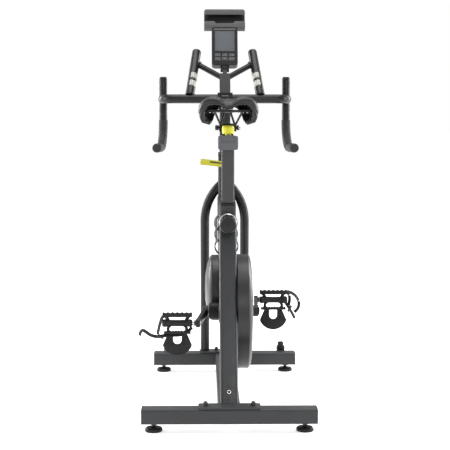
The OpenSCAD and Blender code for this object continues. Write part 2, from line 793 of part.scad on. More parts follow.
// the slider's rail runs in a channel in the post's head
rail_z = bar_z - tube_d / 2 - 1.5;
module bar_post() {
    head_h = 26;
    head_z0 = rail_z - gap - head_h;
    color(steel) difference() {
        along_head() translate([0, 0, 70]) box_tube(bar_post_w, bar_post_d, 5.5, wall, 400);
        translate([0, stem_y, head_z0 + 100]) slab(200, 400, 200);
    }
    color(steel) difference() {
        translate([0, stem_y - 4, head_z0 + head_h / 2]) slab(44, 96, head_h);
        translate([0, stem_y, rail_z]) slab(20 + 2 * gap, 200, 28 + 2 * gap);
    }
}

module lever_place() { along_head() translate([0, -head_d / 2, lever_local]) rotate([90, 0, 0]) children(); }

module post_lever() {
    color(lime) lever_place() {
        translate([0, 0, -wall - 3]) cylinder(h = 14, r = 4.95, $fn = 48);
        translate([0, 0, gap]) cylinder(h = 16, r = 11, $fn = 64);
        difference() {
            translate([0, 0, 4]) rotate(-7) translate([-88, -9.5, 0]) cube([88, 19, 11]);
            rotate(-7) translate([-55, 2, 8]) cube([44, 5, 10]);
        }
    }
}

module torus_arc(r, t, a, fn = 96) { rotate_extrude(angle = a, $fn = fn) translate([r, 0]) circle(t, $fn = 48); }

horn_low = 925;
horn_r = 98;
flare = 4;
module side_tube(t, inner) {
    // from the top end down, then back toward the rider
    translate([horn_x, horn_y, 0]) {
        if (!inner) translate([0, 0, horn_low]) cylinder(h = horn_top - horn_low - 6, r = t, $fn = 64);
        if (!inner) translate([0, 0, horn_top - 6]) cylinder(h = 6, r1 = t, r2 = t - 3, $fn = 64);
        rotate(flare) {
            translate([0, -horn_r, horn_low]) rotate([0, 90, 0]) torus_arc(horn_r, t, 90);
            translate([0, -horn_r, horn_low - horn_r]) rotate([90, 0, 0]) cylinder(h = 120, r = t, $fn = 64);
        }
    }
}

module handlebar() {
    r = tube_d / 2;
    color(black) {
        translate([0, stem_y, bar_z]) xcyl(r, -horn_x + bend_r, horn_x - bend_r);
        for (s = [0, 1]) mirror([s, 0, 0]) {
            translate([horn_x - bend_r, stem_y + bend_r, bar_z]) rotate(-90) torus_arc(bend_r, r, 90);
            translate([horn_x, stem_y + bend_r, bar_z]) rotate([-90, 0, 0])
                cylinder(h = horn_y - stem_y - bend_r, r = r, $fn = 64);
            side_tube(horn_d / 2, false);
        }
    }
}

pivot_at = [0, console_y - (console_l / 2 + 11) * sin(console_tilt),
    console_z - (console_l / 2 + 11) * cos(console_tilt)];

module aero_bars() {
    stalk_foot = [0, stem_y + 4, bar_z + 15];
    stalk_top = stalk_foot + 0.78 * (pivot_at - stalk_foot);
    color(black) difference() {
        union() {
            for (s = [0, 1]) mirror([s, 0, 0]) {
                round_rod(aero_foot, aero_top, 16);
                rod(aero_foot + 0.72 * (aero_top - aero_foot), [10, stem_y + 36, bar_z + 76], 10);
            }
            // stem block, fore-and-aft slider with its rail, and console stalk
            translate([0, stem_y + 3, bar_z + 3]) slab(53, 46, 37);
            translate([0, stem_y, rail_z + 12.5]) slab(36, 150, 25);
            translate([0, stem_y, rail_z - 7]) slab(20, 150, 14);
            rod_box(stalk_foot, stalk_top, 38, 26);
            rod_box(stalk_foot, pivot_at, 15, 14);
            translate(pivot_at) xcyl(9, -9, 9);
        }
        translate([0, stem_y, bar_z]) xcyl(tube_d / 2, -200, 200, 96);
        translate(pivot_at) xcyl(4 + run, -20, 20);
    }
}

module rod_box(a, b, w, d) {
    v = b - a;
    translate(a) rotate([-atan2(v[1], v[2]), 0, 0]) translate([0, 0, norm(v) / 2]) slab(w, d, norm(v));
}

module hand_grips() {
    color(black) for (s = [0, 1]) mirror([s, 0, 0]) difference() {
        translate([horn_x, horn_y, 0]) rotate(flare) {
            translate([0, -horn_r, horn_low]) rotate([0, 90, 0]) rotate(8) torus_arc(horn_r, tube_d / 2, 82);
            translate([0, -horn_r, horn_low - horn_r]) rotate([90, 0, 0]) {
                cylinder(h = 121, r = tube_d / 2, $fn = 64);
                translate([0, 0, 121]) cylinder(h = 3, r1 = tube_d / 2, r2 = tube_d / 2 - 3, $fn = 64);
            }
        }
        side_tube(horn_d / 2, true);
        translate([horn_x, horn_y, horn_low]) cylinder(h = 60, r = horn_d / 2, $fn = 64);
    }
}

module pulse_pads() {
    color("silver") for (s = [0, 1]) mirror([s, 0, 0]) {
        v = aero_top - aero_foot;
        translate(aero_foot) rotate([0, acos(v[2] / norm(v)), atan2(v[1], v[0])]) for (z = [34, 68])
            translate([0, 0, z]) difference() {
                cylinder(h = 25, r = 17.2, $fn = 96);
                translate([0, 0, -1]) cylinder(h = 27, r = 16, $fn = 96);
                rotate(115) translate([23, 0, 12]) slab(40, 60, 60);
            }
    }
}

module console_place() { translate([0, console_y, console_z]) rotate([-console_tilt, 0, 0]) children(); }

module console() {
    low = console_l / 2 + 11;
    color(black) console_place() {
        difference() {
            rotate([90, 0, 0]) translate([0, 0, -16]) linear_extrude(32) rrect(console_w, console_l, 12);
            // recesses for the screen and the keys
            translate([0, -17, 22]) slab(72, 4, 76);
            for (k = [0:5]) key_place(k) translate([0, 10, 0]) slab(21 + 2 * gap, 22, 10 + 2 * gap);
        }
        // cheeks and pin of the tilting joint
        for (x = [-12.3, 12.3]) translate([x, 0, 6 - low]) slab(6, 18, 12);
        for (x = [-15.3, 9.3]) translate([0, 0, -low]) xcyl(9, x, x + 6);
        translate([0, 0, -low]) xcyl(4, -15, 15);
    }
}

// keys in two rows of three, counted from the upper left; each stands proud of the face
module key_place(k) { translate([(k % 3 - 1) * 25, -17.5, -33 - floor(k / 3) * 15]) children(); }

module key(k) {
    color("gray") console_place() key_place(k) translate([0, 5, 0]) slab(21, 10, 10);
}

module key_1() { key(0); }
module key_2() { key(1); }
module key_3() { key(2); }
module key_4() { key(3); }
module key_5() { key(4); }
module key_6() { key(5); }

module tablet_holder() {
    color(black) console_place() translate([0, 0, console_l / 2]) {
        difference() {
            translate([0, 14, 36]) slab(tray_w, 8, 72);
            translate([0, 10, 50]) slab(tray_w - 14, 4, 34);
        }
        translate([0, -2, 3]) slab(tray_w, 32, 6);
        difference() {
            translate([0, -16, 9]) slab(tray_w, 4, 18);
            translate([0, -16, 16]) slab(66, 6, 8);
        }
        translate([0, 2, 70]) slab(tray_w, 24, 5);
    }
}

rear_stabilizer();
front_stabilizer();
stabilizer_end_caps();
base_beam();
mount_plates();
fasteners();
foot_rear_left();
foot_rear_right();
foot_front_left();
foot_front_right();
wheel_brackets();
wheel_left();
wheel_right();
rear_strut();
lower_post();
seat_tube();
main_beam();
head_tube();
fork_left();
fork_right();
bearing_housings();
bearings();
post_bushings();
guard_back();
guard_cover();
drive_belt();
flywheel_shroud();
flywheel();
brake_shoe();
brake_rod();
brake_knob();
bottle_cage();
crank_axle();
crank_arm_left();
crank_arm_right();
pedal_left();
pedal_right();
strap_left();
strap_right();
seat_post();
pin_housing();
seat_pin();
saddle_slider();
slider_knob();
saddle_frame();
saddle_pad();
bar_post();
post_lever();
handlebar();
aero_bars();
hand_grips();
pulse_pads();
console();
key_1();
key_2();
key_3();
key_4();
key_5();
key_6();
tablet_holder();
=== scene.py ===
"""Exercise bike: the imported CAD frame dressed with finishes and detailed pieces."""

import json
import logging
import math
from collections.abc import Sequence
from dataclasses import dataclass, field
from enum import Enum

import bmesh
import bpy
from mathutils import Matrix, Vector
from mathutils.kdtree import KDTree


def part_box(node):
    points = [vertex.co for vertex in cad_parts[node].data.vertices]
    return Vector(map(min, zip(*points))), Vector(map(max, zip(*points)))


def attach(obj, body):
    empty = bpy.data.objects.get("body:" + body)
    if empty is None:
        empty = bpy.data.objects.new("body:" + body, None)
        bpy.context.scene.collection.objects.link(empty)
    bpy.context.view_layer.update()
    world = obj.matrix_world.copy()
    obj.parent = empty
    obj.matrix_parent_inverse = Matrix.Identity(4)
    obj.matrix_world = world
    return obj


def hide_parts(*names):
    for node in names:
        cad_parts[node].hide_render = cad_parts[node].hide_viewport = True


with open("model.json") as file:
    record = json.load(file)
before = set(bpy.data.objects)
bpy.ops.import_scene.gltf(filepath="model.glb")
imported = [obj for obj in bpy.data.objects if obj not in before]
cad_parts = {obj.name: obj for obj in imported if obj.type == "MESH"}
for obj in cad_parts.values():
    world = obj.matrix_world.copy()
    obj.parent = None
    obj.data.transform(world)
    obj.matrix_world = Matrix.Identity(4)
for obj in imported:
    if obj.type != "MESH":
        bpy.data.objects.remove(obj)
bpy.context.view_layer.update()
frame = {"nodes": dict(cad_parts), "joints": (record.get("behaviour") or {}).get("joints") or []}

log = logging.getLogger("exercise_bike")
Point = tuple[float, float, float]


# ---------------------------------------------------------------- mesh tools


def piece_from(name: str, bm: bmesh.types.BMesh, sharp: float = 38.0) -> bpy.types.Object:
    """Turn a bmesh into a linked object with outward faces.

    Args:
        name: Object name.
        bm: Mesh in metres, in the row frame. It is freed.
        sharp: Angle in degrees above which an edge stays sharp.

    Returns:
        The new object.
    """
    bmesh.ops.remove_doubles(bm, verts=bm.verts, dist=1e-6)
    bmesh.ops.recalc_face_normals(bm, faces=bm.faces)
    limit = math.radians(sharp)
    for edge in bm.edges:
        edge.smooth = len(edge.link_faces) == 2 and edge.calc_face_angle(0.0) < limit
    for face in bm.faces:
        face.smooth = True
    mesh = bpy.data.meshes.new(name)
    bm.to_mesh(mesh)
    bm.free()
    obj = bpy.data.objects.new(name, mesh)
    bpy.context.scene.collection.objects.link(obj)
    return obj


def round_edges(bm: bmesh.types.BMesh, width: float, segments: int = 3, angle: float = 30.0) -> None:
    """Bevel every edge of a bmesh that is sharper than an angle.

    Args:
        bm: Mesh to change.
        width: Bevel width in metres.
        segments: Number of segments.
        angle: Angle in degrees above which an edge is bevelled.
    """
    limit = math.radians(angle)
    edges = [e for e in bm.edges if len(e.link_faces) == 2 and e.calc_face_angle(0.0) > limit]
    bmesh.ops.bevel(bm, geom=edges, offset=width, segments=segments, profile=0.5, affect="EDGES",
                    material=-1, clamp_overlap=True)


def block(bm: bmesh.types.BMesh, centre: Vector, size: Vector, turn: Matrix | None = None,
          bevel: float = 0.0, segments: int = 3) -> None:
    """Add a box with rounded edges.

    Args:
        bm: Mesh that takes the box.
        centre: Middle of the box in metres.
        size: Size along each axis in metres.
        turn: Rotation about the box's middle.
        bevel: Radius of its edges.
        segments: Segments of each rounded edge.
    """
    part = bmesh.new()
    bmesh.ops.create_cube(part, size=1.0)
    bmesh.ops.scale(part, vec=size, verts=part.verts)
    if bevel > 0:
        round_edges(part, bevel, segments)
    if turn is not None:
        bmesh.ops.rotate(part, cent=(0, 0, 0), matrix=turn, verts=part.verts)
    bmesh.ops.translate(part, vec=centre, verts=part.verts)
    merge(bm, part)


def merge(bm: bmesh.types.BMesh, part: bmesh.types.BMesh) -> None:
    """Add one bmesh to another and free it.

    Args:
        bm: Mesh that takes the shape.
        part: Mesh that is added and freed.
    """
    mesh = bpy.data.meshes.new("part")
    part.to_mesh(mesh)
    part.free()
    bm.from_mesh(mesh)
    bpy.data.meshes.remove(mesh)


def aim(direction: Vector) -> Matrix:
    """Return the rotation that turns +Z to a direction."""
    return direction.normalized().to_track_quat("Z", "Y").to_matrix()


def lathe(bm: bmesh.types.BMesh, profile: Sequence[tuple[float, float]], origin: Vector,
          axis: Vector, segments: int = 64) -> None:
    """Spin a profile of (radius, height) points about an axis.

    Args:
        bm: Mesh that takes the shape.
        profile: Points in metres from one end of the axis to the other.
        origin: Point on the axis where height is nought.
        axis: Direction of growing height.
        segments: Steps round the axis.
    """
    part = bmesh.new()
    verts = [part.verts.new((r, 0.0, z)) for r, z in profile]
    edges = [part.edges.new(pair) for pair in zip(verts, verts[1:])]
    bmesh.ops.spin(part, geom=verts + edges, cent=(0, 0, 0), axis=(0, 0, 1), angle=2 * math.pi,
                   steps=segments, use_merge=True, use_duplicate=False)
    bmesh.ops.remove_doubles(part, verts=part.verts, dist=1e-6)
    bmesh.ops.recalc_face_normals(part, faces=part.faces)
    bmesh.ops.rotate(part, cent=(0, 0, 0), matrix=aim(axis), verts=part.verts)
    bmesh.ops.translate(part, vec=origin, verts=part.verts)
    merge(bm, part)


def rod(bm: bmesh.types.BMesh, start: Vector, end: Vector, radius: float, segments: int = 24,
        chamfer: float = 0.0006) -> None:
    """Add a round bar from start to end with small chamfers."""
    length = (end - start).length
    lathe(bm, [(0, 0), (radius - chamfer, 0), (radius, chamfer), (radius, length - chamfer),
               (radius - chamfer, length), (0, length)], start, end - start, segments)


def hex_nut(bm: bmesh.types.BMesh, start: Vector, axis: Vector, across: float, height: float) -> None:
    """Add a six-sided nut or bolt head with bevelled edges.

    Args:
        bm: Mesh that takes the shape.
        start: Middle of the face it sits on.
        axis: Direction it stands in.
        across: Width across the flats.
        height: Thickness.
    """
    part = bmesh.new()
    bmesh.ops.create_cone(part, cap_ends=True, cap_tris=False, segments=6, radius1=across / math.sqrt(3),
                          radius2=across / math.sqrt(3), depth=height)
    bmesh.ops.translate(part, vec=(0, 0, height / 2), verts=part.verts)
    round_edges(part, height * 0.12, 2)
    bmesh.ops.rotate(part, cent=(0, 0, 0), matrix=aim(axis), verts=part.verts)
    bmesh.ops.translate(part, vec=start, verts=part.verts)
    merge(bm, part)


def pour(bm: bmesh.types.BMesh, curve: bpy.types.Curve) -> None:
    """Add a curve's mesh to a bmesh and delete the curve.

    Args:
        bm: Mesh that takes the shape.
        curve: Curve that is evaluated and deleted.
    """
    holder = bpy.data.objects.new("curve", curve)
    bpy.context.scene.collection.objects.link(holder)
    bpy.context.view_layer.update()
    mesh = bpy.data.meshes.new_from_object(holder.evaluated_get(bpy.context.evaluated_depsgraph_get()))
    bm.from_mesh(mesh)
    bpy.data.objects.remove(holder)
    bpy.data.curves.remove(curve)
    bpy.data.meshes.remove(mesh)


def bezier(curve: bpy.types.Curve, points: Sequence[Point], resolution: int) -> bpy.types.Spline:
    """Add a smooth line through points to a curve.

    Args:
        curve: Curve that takes the line.
        points: Points on the line.
        resolution: Steps between two points.

    Returns:
        The new line.
    """
    spline = curve.splines.new("BEZIER")
    spline.bezier_points.add(len(points) - 1)
    for target, point in zip(spline.bezier_points, points):
        target.co = point
        target.handle_left_type = target.handle_right_type = "AUTO"
    spline.resolution_u = resolution
    return spline


def wire(bm: bmesh.types.BMesh, points: Sequence[Vector], radius: float, closed: bool = False,
         resolution: int = 6, smooth: bool = True) -> None:
    """Sweep a round wire along a smooth curve through points.

    Args:
        bm: Mesh that takes the wire.
        points: Points on the wire's middle line.
        radius: Radius of the wire.
        closed: Whether the wire joins its own start.
        resolution: Steps between two points.
        smooth: Whether the line is curved between points.
    """
    curve = bpy.data.curves.new("wire", "CURVE")
    curve.dimensions = "3D"
    curve.bevel_depth = radius
    curve.bevel_resolution = 4
    curve.use_fill_caps = not closed
    if smooth:
        spline = bezier(curve, points, resolution)
    else:
        spline = curve.splines.new("POLY")
        spline.points.add(len(points) - 1)
        for target, point in zip(spline.points, points):
            target.co = (*point, 1.0)
    spline.use_cyclic_u = closed
    pour(bm, curve)


def ribbon(points: Sequence[tuple[float, float]], width: float, thickness: float, origin: Vector,
           lean: float = 0.0) -> bmesh.types.BMesh:
    """Make a flat strap whose edge line lies in the XZ plane.

    Args:
        points: (x, z) points on the strap's middle line in metres.
        width: Width of the strap along Y.
        thickness: Thickness of the webbing.
        origin: Place of the line's origin in the row frame.
        lean: Angle in radians by which the strap's width turns out of the Y axis.

    Returns:
        The strap as a bmesh.
    """
    curve = bpy.data.curves.new("strap", "CURVE")
    curve.dimensions = "3D"
    bezier(curve, [(x, 0.0, z) for x, z in points], 8)
    bm = bmesh.new()
    pour(bm, curve)
    leans = {}
    for vert in bm.verts:
        ends = [edge.other_vert(vert).co for edge in vert.link_edges]
        along = (ends[0] - ends[-1] if len(ends) > 1 else ends[0] - vert.co).normalized()
        across = Vector((-along.z, 0.0, along.x)) * (1 if along.x + 0.3 * along.z > 0 else -1)
        leans[vert.co.to_tuple(6)] = (across * math.sin(lean) + Vector((0, math.cos(lean), 0))) * width / 2
    grown = bmesh.ops.extrude_edge_only(bm, edges=list(bm.edges))
    side = {g for g in grown["geom"] if isinstance(g, bmesh.types.BMVert)}
    for vert in bm.verts:
        shift = leans[vert.co.to_tuple(6)]
        vert.co += shift if vert in side else -shift
    bmesh.ops.recalc_face_normals(bm, faces=bm.faces)
    bmesh.ops.solidify(bm, geom=list(bm.faces), thickness=thickness)
    bmesh.ops.translate(bm, vec=origin, verts=bm.verts)
    return bm


# ---------------------------------------------------------------- finishes


class Nodes:
    """A material's node tree with short calls to add and join nodes."""

    def __init__(self, name: str) -> None:
        """Start an empty material whose output takes one Principled shader.

        Args:
            name: Material name.
        """
        self.material = bpy.data.materials.new(name)
        self.material.use_nodes = True
        self.tree = self.material.node_tree
        self.shader = self.tree.nodes["Principled BSDF"]
        self.place = self.tree.nodes.new("ShaderNodeTexCoord")

    def add(self, kind: str, **sockets: object) -> bpy.types.Node:
        """Add a node.

        Args:
            kind: Node type without its ShaderNode prefix.
            **sockets: Input values by socket name with spaces as underscores; a node
                property where the node has one of that name.

        Returns:
            The node.
        """
        node = self.tree.nodes.new("ShaderNode" + kind)
        for key, value in sockets.items():
            label = key.replace("_", " ")
            if label in node.inputs:
                node.inputs[label].default_value = value
            else:
                setattr(node, key, value)
        return node

    def join(self, source: bpy.types.NodeSocket, target: bpy.types.NodeSocket) -> None:
        """Link an output to an input."""
        self.tree.links.new(source, target)

    def set(self, **sockets: object) -> None:
        """Set the shader's own sockets to plain values."""
        for key, value in sockets.items():
            self.shader.inputs[key.replace("_", " ")].default_value = value

    def noise(self, scale: float, detail: float = 3.0, stretch: Point = (1, 1, 1)) -> bpy.types.NodeSocket:
        """Return the value of a noise texture on Object coordinates.

        Args:
            scale: Noise scale per metre.
            detail: Octaves.
            stretch: Scale of each coordinate.

        Returns:
            The value's socket.
        """
        mapping = self.add("Mapping", Scale=stretch)
        self.join(self.place.outputs["Object"], mapping.inputs["Vector"])
        texture = self.add("TexNoise", Scale=scale, Detail=detail)
        self.join(mapping.outputs["Vector"], texture.inputs["Vector"])
        return texture.outputs["Fac"]

    def ramp(self, value: bpy.types.NodeSocket, low: float, high: float) -> bpy.types.NodeSocket:
        """Return a value mapped from nought to one onto low to high."""
        node = self.add("MapRange", To_Min=low, To_Max=high, From_Min=0.3, From_Max=0.7)
        self.join(value, node.inputs["Value"])
        return node.outputs["Result"]

    def tint(self, value: bpy.types.NodeSocket, dark: Point, light: Point) -> bpy.types.NodeSocket:
        """Return a colour between two by a value.

        Args:
            value: Socket with a value from nought to one.
            dark: Colour of low values.
            light: Colour of high values.

        Returns:
            The colour's socket.
        """
        node = self.add("ValToRGB")
        node.color_ramp.elements[0].position = 0.3
        node.color_ramp.elements[1].position = 0.7
        node.color_ramp.elements[0].color = (*dark, 1)
        node.color_ramp.elements[1].color = (*light, 1)
        self.join(value, node.inputs["Fac"])
        return node.outputs["Color"]

    def bump(self, height: bpy.types.NodeSocket, strength: float, distance: float,
             under: bpy.types.NodeSocket | None = None) -> bpy.types.NodeSocket:
        """Return a normal bumped by a height.

        Args:
            height: Socket with the relief.
            strength: Strength of the bump.
            distance: Height of the relief in metres.
            under: Normal that it starts from.

        Returns:
            The normal's socket.
        """
        node = self.add("Bump", Strength=strength, Distance=distance)
        self.join(height, node.inputs["Height"])
        if under is not None:
            self.join(under, node.inputs["Normal"])
        return node.outputs["Normal"]

    def soft_edge(self, radius: float) -> bpy.types.NodeSocket:
        """Return a normal that rounds hard CAD edges."""
        node = self.add("Bevel", Radius=radius)
        node.samples = 6
        return node.outputs["Normal"]


def shade(colour: Point, factor: float) -> Point:
    """Return a colour scaled by a factor."""
    return (colour[0] * factor, colour[1] * factor, colour[2] * factor)


@dataclass(frozen=True)
class Finish:
    """One surface finish with a fine grain, worked out from noise."""

    name: str
    colour: Point
    roughness: float
    metallic: float = 0.0
    variation: float = 0.12
    grain: float = 900.0
    relief: float = 0.00006
    coat: float = 0.0
    edge: float = 0.0008
    specular: float = 0.5

    def build(self) -> bpy.types.Material:
        """Make the material: clouded colour, uneven gloss, fine relief and softened edges.

        Returns:
            The material.
        """
        n = Nodes(self.name)
        n.set(Metallic=self.metallic, Specular_IOR_Level=self.specular)
        if self.coat > 0:
            n.set(Coat_Weight=self.coat, Coat_Roughness=0.12)
        cloud = n.noise(9.0, 4.0)
        n.join(n.tint(cloud, shade(self.colour, 1 - self.variation), shade(self.colour, 1 + self.variation)),
               n.shader.inputs["Base Color"])
        smear = n.noise(38.0, 5.0)
        n.join(n.ramp(smear, self.roughness * 0.88, min(1.0, self.roughness * 1.12)),
               n.shader.inputs["Roughness"])
        under = n.soft_edge(self.edge) if self.edge > 0 else None
        n.join(n.bump(n.noise(self.grain, 2.0), 0.5, self.relief, under), n.shader.inputs["Normal"])
        return n.material


@dataclass(frozen=True)
class Brushed(Finish):
    """Turned or drawn metal: long scratches along one axis."""

    stretch: Point = (0.04, 1.0, 1.0)

    def build(self) -> bpy.types.Material:
        """Make the material with a stretched scratch pattern.

        Returns:
            The material.
        """
        n = Nodes(self.name)
        n.set(Metallic=self.metallic)
        cloud = n.noise(14.0, 3.0)
        n.join(n.tint(cloud, shade(self.colour, 1 - self.variation), shade(self.colour, 1 + self.variation)),
               n.shader.inputs["Base Color"])
        scratch = n.noise(1400.0, 4.0, self.stretch)
        n.join(n.ramp(scratch, self.roughness * 0.75, min(1.0, self.roughness * 1.3)),
               n.shader.inputs["Roughness"])
        n.join(n.bump(scratch, 0.25, 0.00003, n.soft_edge(self.edge)), n.shader.inputs["Normal"])
        return n.material


@dataclass(frozen=True)
class Collared(Finish):
    """Painted post whose collar, above a level, is a paler moulding."""

    collar: Point = (0.125, 0.127, 0.138)
    level: float = 0.8278

    def build(self) -> bpy.types.Material:
        """Make the material with both colours chosen by height.

        Returns:
            The material.
        """
        n = Nodes(self.name)
        n.set(Specular_IOR_Level=self.specular)
        cloud = n.noise(9.0, 4.0)
        tints = [n.tint(cloud, shade(c, 1 - self.variation), shade(c, 1 + self.variation))
                 for c in (self.colour, self.collar)]
        parts = n.add("SeparateXYZ")
        n.join(n.place.outputs["Object"], parts.inputs[0])
        above = n.add("Math", operation="GREATER_THAN")
        above.inputs[1].default_value = self.level
        n.join(parts.outputs["Z"], above.inputs[0])
        mix = n.add("Mix", data_type="RGBA")
        n.join(above.outputs[0], mix.inputs[0])
        n.join(tints[0], mix.inputs[6])
        n.join(tints[1], mix.inputs[7])
        n.join(mix.outputs[2], n.shader.inputs["Base Color"])
        n.join(n.ramp(n.noise(38.0, 5.0), self.roughness * 0.88, self.roughness * 1.12),
               n.shader.inputs["Roughness"])
        n.join(n.bump(n.noise(self.grain, 2.0), 0.5, self.relief, n.soft_edge(self.edge)),
               n.shader.inputs["Normal"])
        return n.material


@dataclass(frozen=True)
class Leatherette(Finish):
    """Soft cover with a pebbled grain and a broad cloud of wear."""

    def build(self) -> bpy.types.Material:
        """Make the material with cells for pebbles and a broad cloud for wear.

        Returns:
            The material.
        """
        n = Nodes(self.name)
        n.set(Sheen_Weight=0.02, Sheen_Roughness=0.5, Specular_IOR_Level=0.35)
        cells = n.add("TexVoronoi", Scale=self.grain, feature="DISTANCE_TO_EDGE")
        n.join(n.place.outputs["Object"], cells.inputs["Vector"])
        cloud = n.noise(18.0, 5.0)
        n.join(n.tint(cloud, shade(self.colour, 0.8), shade(self.colour, 1.3)), n.shader.inputs["Base Color"])
        n.join(n.ramp(cloud, self.roughness * 0.85, self.roughness * 1.15), n.shader.inputs["Roughness"])
        fine = n.bump(n.noise(2600.0, 2.0), 0.15, 0.00004)
        n.join(n.bump(cells.outputs["Distance"], 0.35, self.relief, fine), n.shader.inputs["Normal"])
        return n.material


@dataclass(frozen=True)
class Webbing(Finish):
    """Woven strap: crossing threads from two wave patterns."""

    def build(self) -> bpy.types.Material:
        """Make the material with a woven relief and thread colour.

        Returns:
            The material.
        """
        n = Nodes(self.name)
        heights = []
        for direction in ("X", "Y"):
            wave = n.add("TexWave", Scale=self.grain, Distortion=0.6, bands_direction=direction)
            n.join(n.place.outputs["Object"], wave.inputs["Vector"])
            heights.append(wave.outputs["Fac"])
        weave = n.add("Math", operation="MULTIPLY")
        n.join(heights[0], weave.inputs[0])
        n.join(heights[1], weave.inputs[1])
        n.join(n.tint(weave.outputs[0], shade(self.colour, 0.6), shade(self.colour, 1.5)),
               n.shader.inputs["Base Color"])
        n.join(n.ramp(n.noise(60.0), self.roughness * 0.9, 1.0), n.shader.inputs["Roughness"])
        n.join(n.bump(weave.outputs[0], 0.6, self.relief), n.shader.inputs["Normal"])
        return n.material


@dataclass(frozen=True)
class Ribbed(Finish):
    """Moulded rubber with rings across its length."""

    def build(self) -> bpy.types.Material:
        """Make the material with a diamond relief from two slanted waves.

        Returns:
            The material.
        """
        n = Nodes(self.name)
        heights = []
        for tilt in (0.785, -0.785):
            mapping = n.add("Mapping", Rotation=(tilt, tilt * 0.5, tilt))
            n.join(n.place.outputs["Object"], mapping.inputs["Vector"])
            wave = n.add("TexWave", Scale=self.grain, bands_direction="Z")
            n.join(mapping.outputs["Vector"], wave.inputs["Vector"])
            heights.append(wave.outputs["Fac"])
        pattern = n.add("Math", operation="MAXIMUM")
        n.join(heights[0], pattern.inputs[0])
        n.join(heights[1], pattern.inputs[1])
        cloud = n.noise(25.0, 4.0)
        n.join(n.tint(cloud, shade(self.colour, 0.85), shade(self.colour, 1.2)),
               n.shader.inputs["Base Color"])
        n.join(n.ramp(cloud, self.roughness * 0.9, self.roughness * 1.1), n.shader.inputs["Roughness"])
        n.join(n.bump(pattern.outputs[0], 0.35, self.relief), n.shader.inputs["Normal"])
        return n.material


class Look(Enum):
    """Every finish on the bike."""

    FRAME = Finish("powder_charcoal", (0.032, 0.033, 0.035), 0.36, variation=0.07, grain=1500, relief=0.00005,
                   specular=0.36)
    POST = Collared("seat_post_paint", (0.036, 0.037, 0.039), 0.34, variation=0.06, grain=1500,
                    relief=0.00005,
                    specular=0.4)
    GUARD = Finish("guard_charcoal", (0.026, 0.026, 0.028), 0.36, variation=0.08, grain=1300, relief=0.00004,
                   specular=0.34)
    BAR = Finish("bar_black", (0.010, 0.010, 0.011), 0.33, variation=0.08, grain=1500, relief=0.00004,
                 specular=0.30)
    PLASTIC = Finish("moulded_black", (0.010, 0.010, 0.0105), 0.46, variation=0.15, grain=2200,
                     relief=0.00007,
                     specular=0.28)
    GLOSSY = Finish("gloss_black", (0.012, 0.012, 0.013), 0.16, variation=0.1, grain=700, relief=0.00001,
                    coat=0.3)
    CARRIAGE = Finish("carriage_grey", (0.110, 0.111, 0.120), 0.40, variation=0.08, grain=1500,
                      relief=0.00005)
    RUBBER = Finish("rubber_black", (0.010, 0.010, 0.010), 0.70, variation=0.2, grain=1200, relief=0.0001,
                    specular=0.35)
    GRIP = Ribbed("grip_rubber", (0.011, 0.011, 0.012), 0.60, grain=42.0, relief=0.00035)
    LIME = Finish("lime_plastic", (0.78, 0.75, 0.040), 0.36, variation=0.05, grain=1800, relief=0.00005)
    OLIVE = Finish("lever_lime", (0.56, 0.52, 0.030), 0.38, variation=0.06, grain=1800, relief=0.00005)
    BLACK_ZINC = Finish("black_zinc", (0.06, 0.06, 0.062), 0.34, metallic=0.85, variation=0.2, grain=600,
                        relief=0.00004, edge=0.0003)
    STEEL = Brushed("bright_steel", (0.55, 0.55, 0.56), 0.28, metallic=1.0, edge=0.0004)
    CHROME = Finish("polished_chrome", (0.80, 0.79, 0.77), 0.12, metallic=1.0, variation=0.04, grain=300,
                    relief=0.00001, edge=0.0004)
    CAST = Brushed("turned_iron", (0.22, 0.22, 0.23), 0.36, metallic=0.9, edge=0.0005)
    ALLOY = Brushed("magnet_alloy", (0.50, 0.50, 0.51), 0.40, metallic=1.0, edge=0.0005)
    LIGHT_CAP = Finish("grey_cap", (0.21, 0.215, 0.23), 0.45, variation=0.06, grain=1500, relief=0.00004)
    SCREEN = Finish("screen_glass", (0.088, 0.096, 0.105), 0.22, variation=0.04, grain=40, relief=0.0,
                    coat=0.5, edge=0.0)
    KEY = Finish("key_rubber", (0.035, 0.036, 0.038), 0.5, variation=0.1, grain=1500, relief=0.00004)
    SATIN = Finish("satin_charcoal", (0.055, 0.055, 0.058), 0.5, variation=0.08, grain=1600, relief=0.00005)
    PAD = Brushed("pad_steel", (0.34, 0.33, 0.31), 0.42, metallic=0.5, edge=0.0, stretch=(1.0, 1.0, 0.05))
    KEY_LINE = Finish("key_line", (0.30, 0.31, 0.32), 0.5, variation=0.05, grain=1500, relief=0.00002)
    SADDLE = Leatherette("saddle_cover", (0.014, 0.014, 0.015), 0.44, grain=620.0, relief=0.00022)
    WEBBING = Webbing("strap_webbing", (0.022, 0.022, 0.023), 0.75, grain=260.0, relief=0.0003)

    def __init__(self, finish: Finish) -> None:
        """Keep the finish; its material is built on first use."""
        self.finish = finish
        self.made: bpy.types.Material | None = None

    def material(self) -> bpy.types.Material:
        """Return the material, building it once."""
        if self.made is None:
            self.made = self.finish.build()
        return self.made


def dress(obj: bpy.types.Object, look: Look) -> bpy.types.Object:
    """Give an object one finish and return it."""
    obj.data.materials.clear()
    obj.data.materials.append(look.material())
    return obj


def fit(obj: bpy.types.Object, body: str, look: Look,
        replaces: Sequence[str] = ()) -> bpy.types.Object:
    """Finish a new piece and let it ride.

    Args:
        obj: The piece, in place.
        body: CAD body that carries it.
        look: Its finish.
        replaces: CAD nodes it stands for.

    Returns:
        The piece.
    """
    dress(obj, look)
    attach(obj, body)
    if replaces:
        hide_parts(*replaces)
    log.info("%s rides on %s", obj.name, body)
    return obj


# ---------------------------------------------------------------- CAD nodes


